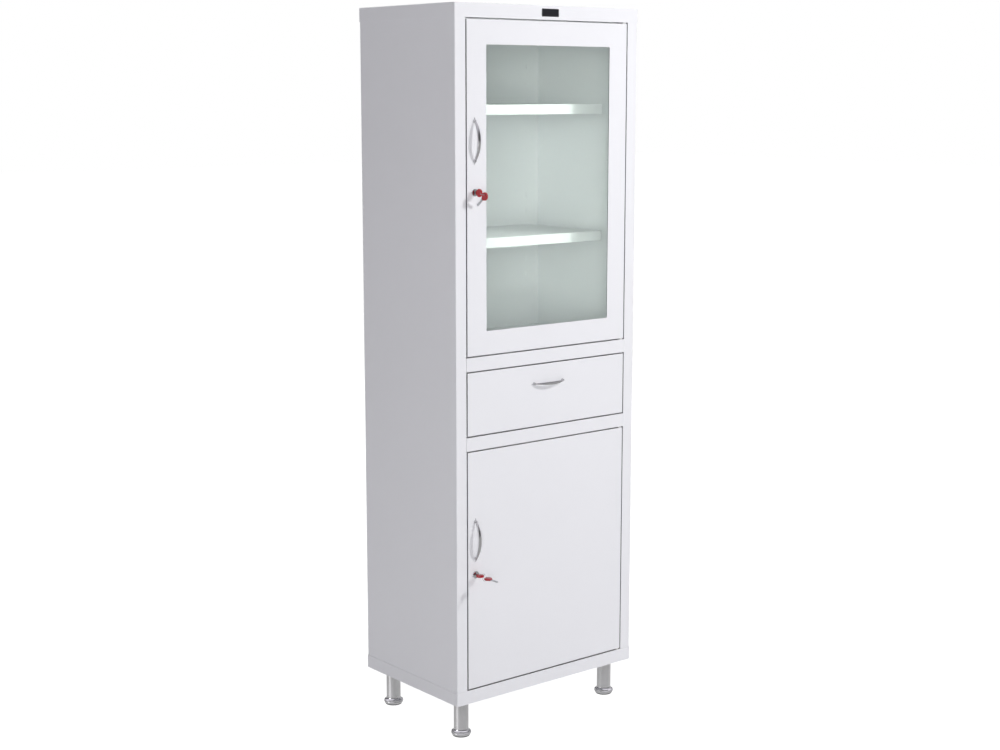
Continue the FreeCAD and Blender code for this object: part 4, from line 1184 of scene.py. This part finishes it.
@dataclass
class BowHandle(Assembly):
    """A bow handle with a crowned section and pointed ends, on two posts."""

    node: str = ""
    body: str = ""
    upright: bool = True
    length: float = 114.0
    stand: float = 21.5
    span: float = 94.0
    bridge: float = 17.0
    width: float = 8.0
    post_radius: float = 3.5
    post_height: float = 5.5
    post_spacing: float = 96.0
    post_flare: float = 0.6
    post_foot: float = 0.8
    post_shoulder: float = 1.5
    post_crown: float = 1.2
    tip_overrun: float = 2.0
    thinnest: float = 0.05
    squareness: float = 0.5
    stations: int = 56
    sides: int = 24

    @staticmethod
    def rise(chord: float, height: float, at: float) -> float:
        """Give an arc's height over its chord.

        Args:
            chord: the arc's chord.
            height: its height at the middle.
            at: distance from the middle along the chord.

        Returns:
            The height there, and zero past the ends.
        """
        radius = chord * chord / (8 * height) + height / 2
        return max(math.sqrt(max(radius * radius - at * at, 0.0)) - radius + height, 0.0)

    def section(self, at: float) -> list[Vector]:
        """Give the rounded section of the bow.

        Args:
            at: distance from the middle.

        Returns:
            The points, with the length along Z and the face at zero.
        """
        top = max(self.rise(self.length, self.stand, at), self.thinnest)
        under = self.rise(self.span, self.bridge, at)
        half_wide = max(self.rise(self.length + 2 * self.tip_overrun, self.width / 2, at), self.thinnest)
        middle, half_tall = (top + under) / 2, max((top - under) / 2, self.thinnest)
        points = []
        for side in range(self.sides):
            turn = 2 * math.pi * side / self.sides
            across = math.copysign(abs(math.cos(turn)) ** self.squareness, math.cos(turn))
            out = math.copysign(abs(math.sin(turn)) ** self.squareness, math.sin(turn))
            points.append(Vector((half_wide * across, -(middle + half_tall * out), at)) * MM)
        return points

    def build(self) -> None:
        """Build the handle where its node is."""
        half = self.length / 2
        turns = [math.pi * step / self.stations for step in range(self.stations + 1)]
        parts = [skin("bow", [self.section(-half * math.cos(turn)) for turn in turns])]
        radius, tall = self.post_radius, self.post_height
        profile = [(0.0, 0.0), (radius + self.post_flare, 0.0), (radius, self.post_foot)]
        profile += [(radius, tall - self.post_shoulder), (radius - self.post_crown, tall), (0.0, tall)]
        for end in (-1, 1):
            post = lathe("post", profile, self.sides)
            shift = Matrix.Translation((0, 0, end * self.post_spacing / 2 * MM))
            post.transform(shift @ Matrix.Rotation(math.pi / 2, 4, "X"))
            parts.append(post)
        mesh = merged(f"{self.node}_bow", parts)
        low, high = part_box(self.node)
        place = Matrix.Translation(((low.x + high.x) / 2, high.y, (low.z + high.z) / 2))
        if not self.upright:
            place = place @ Matrix.Rotation(math.pi / 2, 4, "Y")
        mesh.transform(place)
        smooth(mesh)
        self.seat(new_piece(f"{self.node}_bow", mesh), self.body, "chrome", Look.CHROME, self.node)


# Corners of a key's cuts: place along the blade and depth, in millimetres
CUTS: tuple[Point, ...] = (
    (23.0, 0.0), (25.0, 1.3), (26.5, 1.3), (28.0, 0.4), (30.0, 1.8), (31.5, 1.8), (33.0, 0.6),
    (35.0, 1.1), (36.5, 1.1), (38.0, 0.2), (39.5, 0.9), (40.5, 0.9), (41.8, 0.5),
)


@dataclass
class KeySet(Assembly):
    """The key in a lock, the split ring on it and the spare key on the ring."""

    door: str = ""
    roll_deg: float = 0.0
    ring_deg: float = 0.0
    spare_deg: float = 0.0
    bow_radius: float = 10.0
    bow_offset: float = 6.0
    hole_radius: float = 2.5
    neck_half: float = 4.5
    neck_end: float = 18.0
    bow_half: float = 2.0
    bow_round: float = 0.7
    blade_end: float = 44.0
    blade_half: float = 3.5
    blade_thin: float = 0.9
    blade_root: float = 3.0
    blade_ease: float = 0.2
    blade_crease_deg: float = 20.0
    tip_chamfer: float = 2.4
    groove_share: float = 0.45
    groove_low: Point = (-0.9, -0.6)
    groove_high: Point = (0.5, 0.8)
    neck_corner: float = 1.0
    bow_steps: int = 40
    hole_steps: int = 24
    ring_radius: float = 9.0
    ring_steps: int = 56
    wire: float = 0.4

    def pivot(self, joint: str) -> Vector:
        """Give a joint's place."""
        found = next(entry for entry in frame["joints"] if entry["name"] == joint)
        return Vector(found["pos_m"])

    def bow(self, name: str) -> bpy.types.Mesh:
        """Mould a bow: a round grip with a ring hole and a short neck.

        Args:
            name: the mesh's name.

        Returns:
            The mesh about its ring hole, with the blade's way along +Y and the thickness along X.
        """
        edge = math.degrees(math.asin(self.neck_half / self.bow_radius))
        outline = arc_points((self.bow_offset, 0.0), self.bow_radius, edge, 360.0 - edge, self.bow_steps)
        end, half, corner = self.neck_end, self.neck_half, self.neck_corner
        outline += [(end - corner, -half), (end, corner - half), (end, half - corner), (end - corner, half)]
        steps = self.hole_steps
        hole = arc_points((0.0, 0.0), self.hole_radius, 0.0, 360.0 - 360.0 / steps, steps - 1)
        inner = self.bow_round
        rims = [[Vector((x, y, 0.0)) * MM for x, y in ring] for ring in (outline, hole)]
        mesh = curve_mesh(
            name, rims, True, dimensions="2D", fill_mode="BOTH", extrude=(self.bow_half - inner) * MM,
            bevel_depth=inner * MM, bevel_resolution=3, offset=-inner * MM,
        )
        mesh.transform(Matrix(((0, 0, 1, 0), (1, 0, 0, 0), (0, 1, 0, 0), (0, 0, 0, 1))))
        return mesh

    def blade(self, name: str) -> bpy.types.Mesh:
        """Mill a blade: a grooved strip with cut bitting and a pointed tip.

        Args:
            name: the mesh's name.

        Returns:
            The mesh in the bow's frame.
        """
        stops = [(self.neck_end - self.blade_root, 0.0, 0.0), *((at, cut, 0.0) for at, cut in CUTS)]
        stops.append((self.blade_end, self.tip_chamfer, self.tip_chamfer))
        thin, ease = self.blade_thin, self.blade_ease
        groove = thin * self.groove_share
        rings = []
        for at, cut, chamfer in stops:
            high, low = self.blade_half - cut, chamfer - self.blade_half
            half = [(thin, low + ease), (thin, self.groove_low[0]), (groove, self.groove_low[1])]
            half += [(groove, self.groove_high[0]), (thin, self.groove_high[1]), (thin, high - ease)]
            flank = [(x, min(max(z, low + ease / 2), high - ease / 2)) for x, z in half]
            loop = flank + [(-x, z) for x, z in reversed(flank)]
            rings.append([Vector((x, at, z)) * MM for x, z in loop])
        return smooth(skin(name, rings), self.blade_crease_deg)

    def ring(self, name: str) -> bpy.types.Mesh:
        """Wind a split ring of two turns in the XY plane.

        Args:
            name: the mesh's name.

        Returns:
            The mesh about the ring's middle.
        """
        turns, steps = 2, self.ring_steps
        points = []
        for step in range(turns * steps + 1):
            share = step / (turns * steps)
            angle = 2 * math.pi * turns * share
            across = self.ring_radius * math.cos(angle)
            along = self.ring_radius * math.sin(angle)
            points.append(Vector((across, along, 2 * self.wire * (share - 0.5))) * MM)
        return curve_mesh(
            name, [points], False, dimensions="3D", fill_mode="FULL", bevel_depth=self.wire * MM,
            bevel_resolution=2, use_fill_caps=True,
        )

    def build(self) -> None:
        """Build both keys and the ring."""
        rolled = Matrix.Rotation(math.radians(self.roll_deg), 4, "Y")
        hole, far = self.pivot(f"{self.door}_ring_swing"), self.pivot(f"{self.door}_spare_swing")
        spare_turn = Matrix.Rotation(math.radians(180.0 + self.spare_deg), 4, "X")
        keys = {"key": (f"{self.door}_key", Matrix.Translation(hole) @ rolled),
                "spare": (f"{self.door}_spare_key", Matrix.Translation(far) @ rolled @ spare_turn)}
        for label, (body, place) in keys.items():
            shapes = {
                "bow": (self.bow, Look.RED, "red_plastic"),
                "blade": (self.blade, Look.ZINC, "zinc_steel"),
            }
            for part, (make, look, slot) in shapes.items():
                node = f"{self.door}_{label}_{part}"
                mesh = make(f"{node}_detail")
                mesh.transform(place)
                self.seat(new_piece(f"{node}_detail", mesh), body, slot, look, node)
        tilted = rolled @ Matrix.Rotation(math.radians(self.ring_deg), 4, "X")
        mesh = self.ring(f"{self.door}_split_ring")
        mesh.transform(Matrix.Translation((hole + far) / 2) @ tilted)
        piece = new_piece(f"{self.door}_split_ring", mesh)
        self.seat(piece, f"{self.door}_ring", "chrome", Look.CHROME, f"{self.door}_key_ring")


@dataclass
class Pan(Assembly):
    """A folded pan: a face, walls all round, a hem at the back and, in a glazed door, a window."""

    node: str = ""
    body: str = ""
    glass: Optional[str] = None
    gauge: float = 1.2
    fold: float = 1.2
    ease: float = 1.0
    hem: float = 14.0
    overlap: float = 12.0
    window_corner: float = 2.0

    @staticmethod
    def ring(box: tuple[Vector, Vector], inset: float, corner: float, depth: float) -> list[Vector]:
        """Give a rounded outline that lies in a box's front plane.

        Args:
            box: the box whose width and height it follows.
            inset: how far inside them, in millimetres.
            corner: radius of its corners in millimetres.
            depth: its place along Y in millimetres.

        Returns:
            The points.
        """
        middle, half = (box[0] + box[1]) / 2, (box[1] - box[0]) / 2 / MM
        points = rounded_rectangle(half.x - inset, half.z - inset, corner)
        return [Vector((middle.x + x * MM, depth * MM, middle.z + z * MM)) for x, z in points]

    def build(self) -> None:
        """Fold the pan where its node is."""
        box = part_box(self.node)
        face, back = box[0].y / MM, box[1].y / MM
        gauge, fold, sharp = self.gauge, self.fold, INNER_CORNER
        rings = [
            self.ring(box, gauge, sharp, face + gauge), self.ring(box, gauge, sharp, back - gauge),
            self.ring(box, self.hem, sharp, back - gauge), self.ring(box, self.hem, sharp, back),
        ]
        for inset, depth in arc_points((fold, -fold), fold, 90.0, 180.0, 4):
            rings.append(self.ring(box, inset, fold, back + depth))
        for inset, depth in arc_points((fold, fold), fold, 180.0, 270.0, 4):
            rings.append(self.ring(box, inset, fold, face + depth))
        rings.append(self.ring(box, fold + self.ease, fold, face))
        if self.glass:
            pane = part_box(self.glass)
            for depth in (face, face + gauge):
                rings.append(self.ring(pane, self.overlap, self.window_corner, depth))
        name = f"{self.node}_folded"
        piece = new_piece(name, smooth(skin(name, rings, self.glass is None)))
        self.seat(piece, self.body, "white_coat", Look.COAT, self.node)


@dataclass
class Door(Assembly):
    """A door with its handle, lock and keys."""

    name: str = ""
    panel: str = ""
    glass: Optional[str] = None
    coated: tuple[str, ...] = ()
    keys: Optional[KeySet] = None
    collar_edge: float = 0.4

    def build(self) -> None:
        """Dress the door and build what hangs on it."""
        Pan(self.paints, node=self.panel, body=f"{self.name}_door", glass=self.glass).build()
        self.dress(Look.COAT, *self.coated)
        self.dress(Look.NYLON, f"{self.name}_hinge_bushes")
        lock = (f"{self.name}_lock_body", f"{self.name}_lock_plug")
        self.dress(Look.CHROME, *lock, bend_mm=self.collar_edge)
        for part in ("door_fasteners", "lock_cam", "cam_screw"):
            self.dress(Look.ZINC, f"{self.name}_{part}")
        BowHandle(self.paints, node=f"{self.name}_door_handle", body=f"{self.name}_door").build()
        self.keys.build()


@dataclass
class Drawer(Assembly):
    """The drawer on its slides."""

    def build(self) -> None:
        """Dress the drawer and build its handle."""
        Pan(self.paints, node="drawer_front", body="drawer").build()
        self.dress(Look.COAT, "drawer_tray")
        self.dress(Look.ZINC, "slide_drawer_channels", "drawer_handle_screws")
        BowHandle(self.paints, node="drawer_handle", body="drawer", upright=False).build()


# The studio

@dataclass(frozen=True)
class Lamp:
    """A square area lamp: its place, side in metres, watts and whether it shows in gloss alone."""

    name: str
    place: Spot
    size: float
    watts: float
    gloss_only: bool = False

    def hang(self, aim: Vector) -> None:
        """Hang the lamp; only one in front of the cabinet shows through glass.

        Args:
            aim: what it looks at.
        """
        data = bpy.data.lights.new(self.name, "AREA")
        data.size = self.size
        data.energy = self.watts
        lamp = bpy.data.objects.new(self.name, data)
        lamp.visible_glossy = self.gloss_only
        lamp.visible_diffuse = not self.gloss_only
        place = Vector(self.place)
        lamp.visible_transmission = place.y < 0.0
        lamp.location = place
        lamp.rotation_euler = (aim - place).to_track_quat("-Z", "Y").to_euler()
        bpy.context.scene.collection.objects.link(lamp)


@dataclass
class Studio:
    """The pale floor, the soft lights and the camera."""

    eye: Spot = (-2.8118, -3.4162, 1.6422)
    yaw_deg: float = 39.113
    pitch_deg: float = 9.46
    focal_px: float = 1695.8
    frame_px: float = 1000.0
    sensor_mm: float = 36.0
    ambient: float = 0.18
    ambient_tint: Colour = (1.0, 0.97, 1.05)
    aim: Spot = (0.0, -0.15, 1.2)
    lamps: tuple[Lamp, ...] = (
        Lamp("key", (1.1, -2.1, 2.3), 0.25, 30.0),
        Lamp("fill", (-5.2, -6.4, 1.6), 3.0, 275.0),
        Lamp("top", (0.0, 0.05, 4.2), 0.4, 24.0),
        Lamp("back", (3.5, 3.7, 2.2), 2.5, 140.0),
        Lamp("side", (-4.6, 0.75, 0.9), 1.4, 22.0, gloss_only=True),
    )
    gloss_floor: float = 0.55
    floor_glow: float = 1.32
    floor_share: float = 0.75
    glass_floor: float = 1.6
    floor_reach: float = 30.0
    floor_colour: Colour = (0.86, 0.86, 0.87)
    floor_roughness: float = 0.9
    behind_level: float = 0.15
    sky_start: float = 0.3
    sky_full: float = 0.65
    soft_boxes: tuple[Point, ...] = (
        (-140.0, 0.08), (-110.0, 0.4), (-90.0, 0.6), (-70.0, 0.2), (-20.0, 0.1), (30.0, 0.1), (60.0, 0.3),
        (90.0, 0.6), (125.0, 0.25),
    )

    def camera(self) -> None:
        """Set the camera at the photograph's viewing angle."""
        data = bpy.data.cameras.new("camera")
        data.sensor_width = self.sensor_mm
        data.lens = self.focal_px / self.frame_px * self.sensor_mm
        eye = bpy.data.objects.new("camera", data)
        eye.location = self.eye
        eye.rotation_euler = (math.radians(90.0 - self.pitch_deg), 0.0, math.radians(-self.yaw_deg))
        bpy.context.scene.collection.objects.link(eye)
        bpy.context.scene.camera = eye

    @staticmethod
    def seen(wiring: Wiring) -> bpy.types.NodeSocket:
        """Give one for rays that show the background: from the camera and through glass."""
        path = wiring.add("ShaderNodeLightPath").outputs
        return wiring.math("MAXIMUM", path["Is Camera Ray"], path["Is Transmission Ray"])

    def world(self) -> None:
        """Light evenly from all round, in front of a white background."""
        world = bpy.data.worlds.new("studio")
        world.use_nodes = True
        bpy.context.scene.world = world
        wiring = Wiring(world.node_tree)
        back = world.node_tree.nodes["Background"]
        path = wiring.add("ShaderNodeLightPath").outputs
        shown = self.seen(wiring)
        wiring.feed(back.inputs["Color"], wiring.mix(shown, rgba(self.ambient_tint), WHITE))
        toward = wiring.add("ShaderNodeTexCoord").outputs["Generated"]
        way = wiring.add("ShaderNodeSeparateXYZ", Vector=toward).outputs
        turn = wiring.math("ARCTAN2", way["X"], wiring.math("MULTIPLY", way["Y"], -1.0))
        boxes = wiring.add("ShaderNodeValToRGB", Fac=wiring.span(turn, 0.0, 1.0, -math.pi, math.pi))
        ramp = boxes.color_ramp
        for end in ramp.elements:
            end.color = rgba((self.behind_level,) * 3)
        for degrees, level in self.soft_boxes:
            ramp.elements.new(degrees / 360.0 + 0.5).color = rgba((level,) * 3)
        above = wiring.span(way["Z"], boxes.outputs["Color"], 1.0, self.sky_start, self.sky_full)
        lit = wiring.span(path["Is Glossy Ray"], self.ambient, above)
        wiring.feed(back.inputs["Strength"], wiring.span(shown, lit, 1.0))

    def floor(self) -> None:
        """Lay a white floor that keeps a faint shadow."""
        mesh = bpy.data.meshes.new("floor")
        reach = self.floor_reach
        corners = [(-reach, -reach, 0.0), (reach, -reach, 0.0), (reach, reach, 0.0), (-reach, reach, 0.0)]
        mesh.from_pydata(corners, [], [(0, 1, 2, 3)])
        floor = new_piece("floor", mesh)
        material = bpy.data.materials.new("pale floor")
        material.use_nodes = True
        wiring = Wiring(material.node_tree)
        shader = material.node_tree.nodes["Principled BSDF"]
        shader.inputs["Base Color"].default_value = rgba(self.floor_colour)
        shader.inputs["Roughness"].default_value = self.floor_roughness
        shader.inputs["Specular IOR Level"].default_value = 0.0
        path = wiring.add("ShaderNodeLightPath").outputs
        glossy, through = path["Is Glossy Ray"], path["Is Transmission Ray"]
        matte = wiring.span(through, self.floor_glow, self.glass_floor)
        strength = wiring.span(glossy, matte, self.gloss_floor)
        glow = wiring.add("ShaderNodeEmission", Color=WHITE, Strength=strength)
        shown = wiring.math("MULTIPLY", path["Is Camera Ray"], self.floor_share)
        share = wiring.math("MAXIMUM", wiring.math("MAXIMUM", shown, through), glossy)
        wiring.either(share, shader, glow)
        mesh.materials.append(material)

    def build(self) -> None:
        """Set everything up."""
        bpy.context.scene.view_settings.view_transform = "Standard"
        self.world()
        self.floor()
        for lamp in self.lamps:
            lamp.hang(Vector(self.aim))
        self.camera()


def main() -> None:
    """Build the sub-assemblies in order."""
    logging.basicConfig(level=logging.INFO, format="%(message)s")
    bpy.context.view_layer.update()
    paints = Paintbox()
    Case(paints).build()
    Legs(paints).build()
    upper_keys = KeySet(paints, door="upper", ring_deg=10.0, spare_deg=142.0)
    lower_keys = KeySet(paints, door="lower", roll_deg=90.0)
    upper = Door(
        paints, name="upper", panel="upper_door_frame", glass="upper_door_glass",
        coated=("upper_glass_retainer",), keys=upper_keys,
    )
    upper.build()
    upper.dress(Look.GLASS, "upper_door_glass")
    upper.dress(Look.RUBBER, "upper_door_gasket")
    lower = Door(
        paints, name="lower", panel="lower_door_panel", coated=("lower_door_stiffener",), keys=lower_keys,
    )
    lower.build()
    Drawer(paints).build()
    Studio().build()


if __name__ == "__main__":
    main()
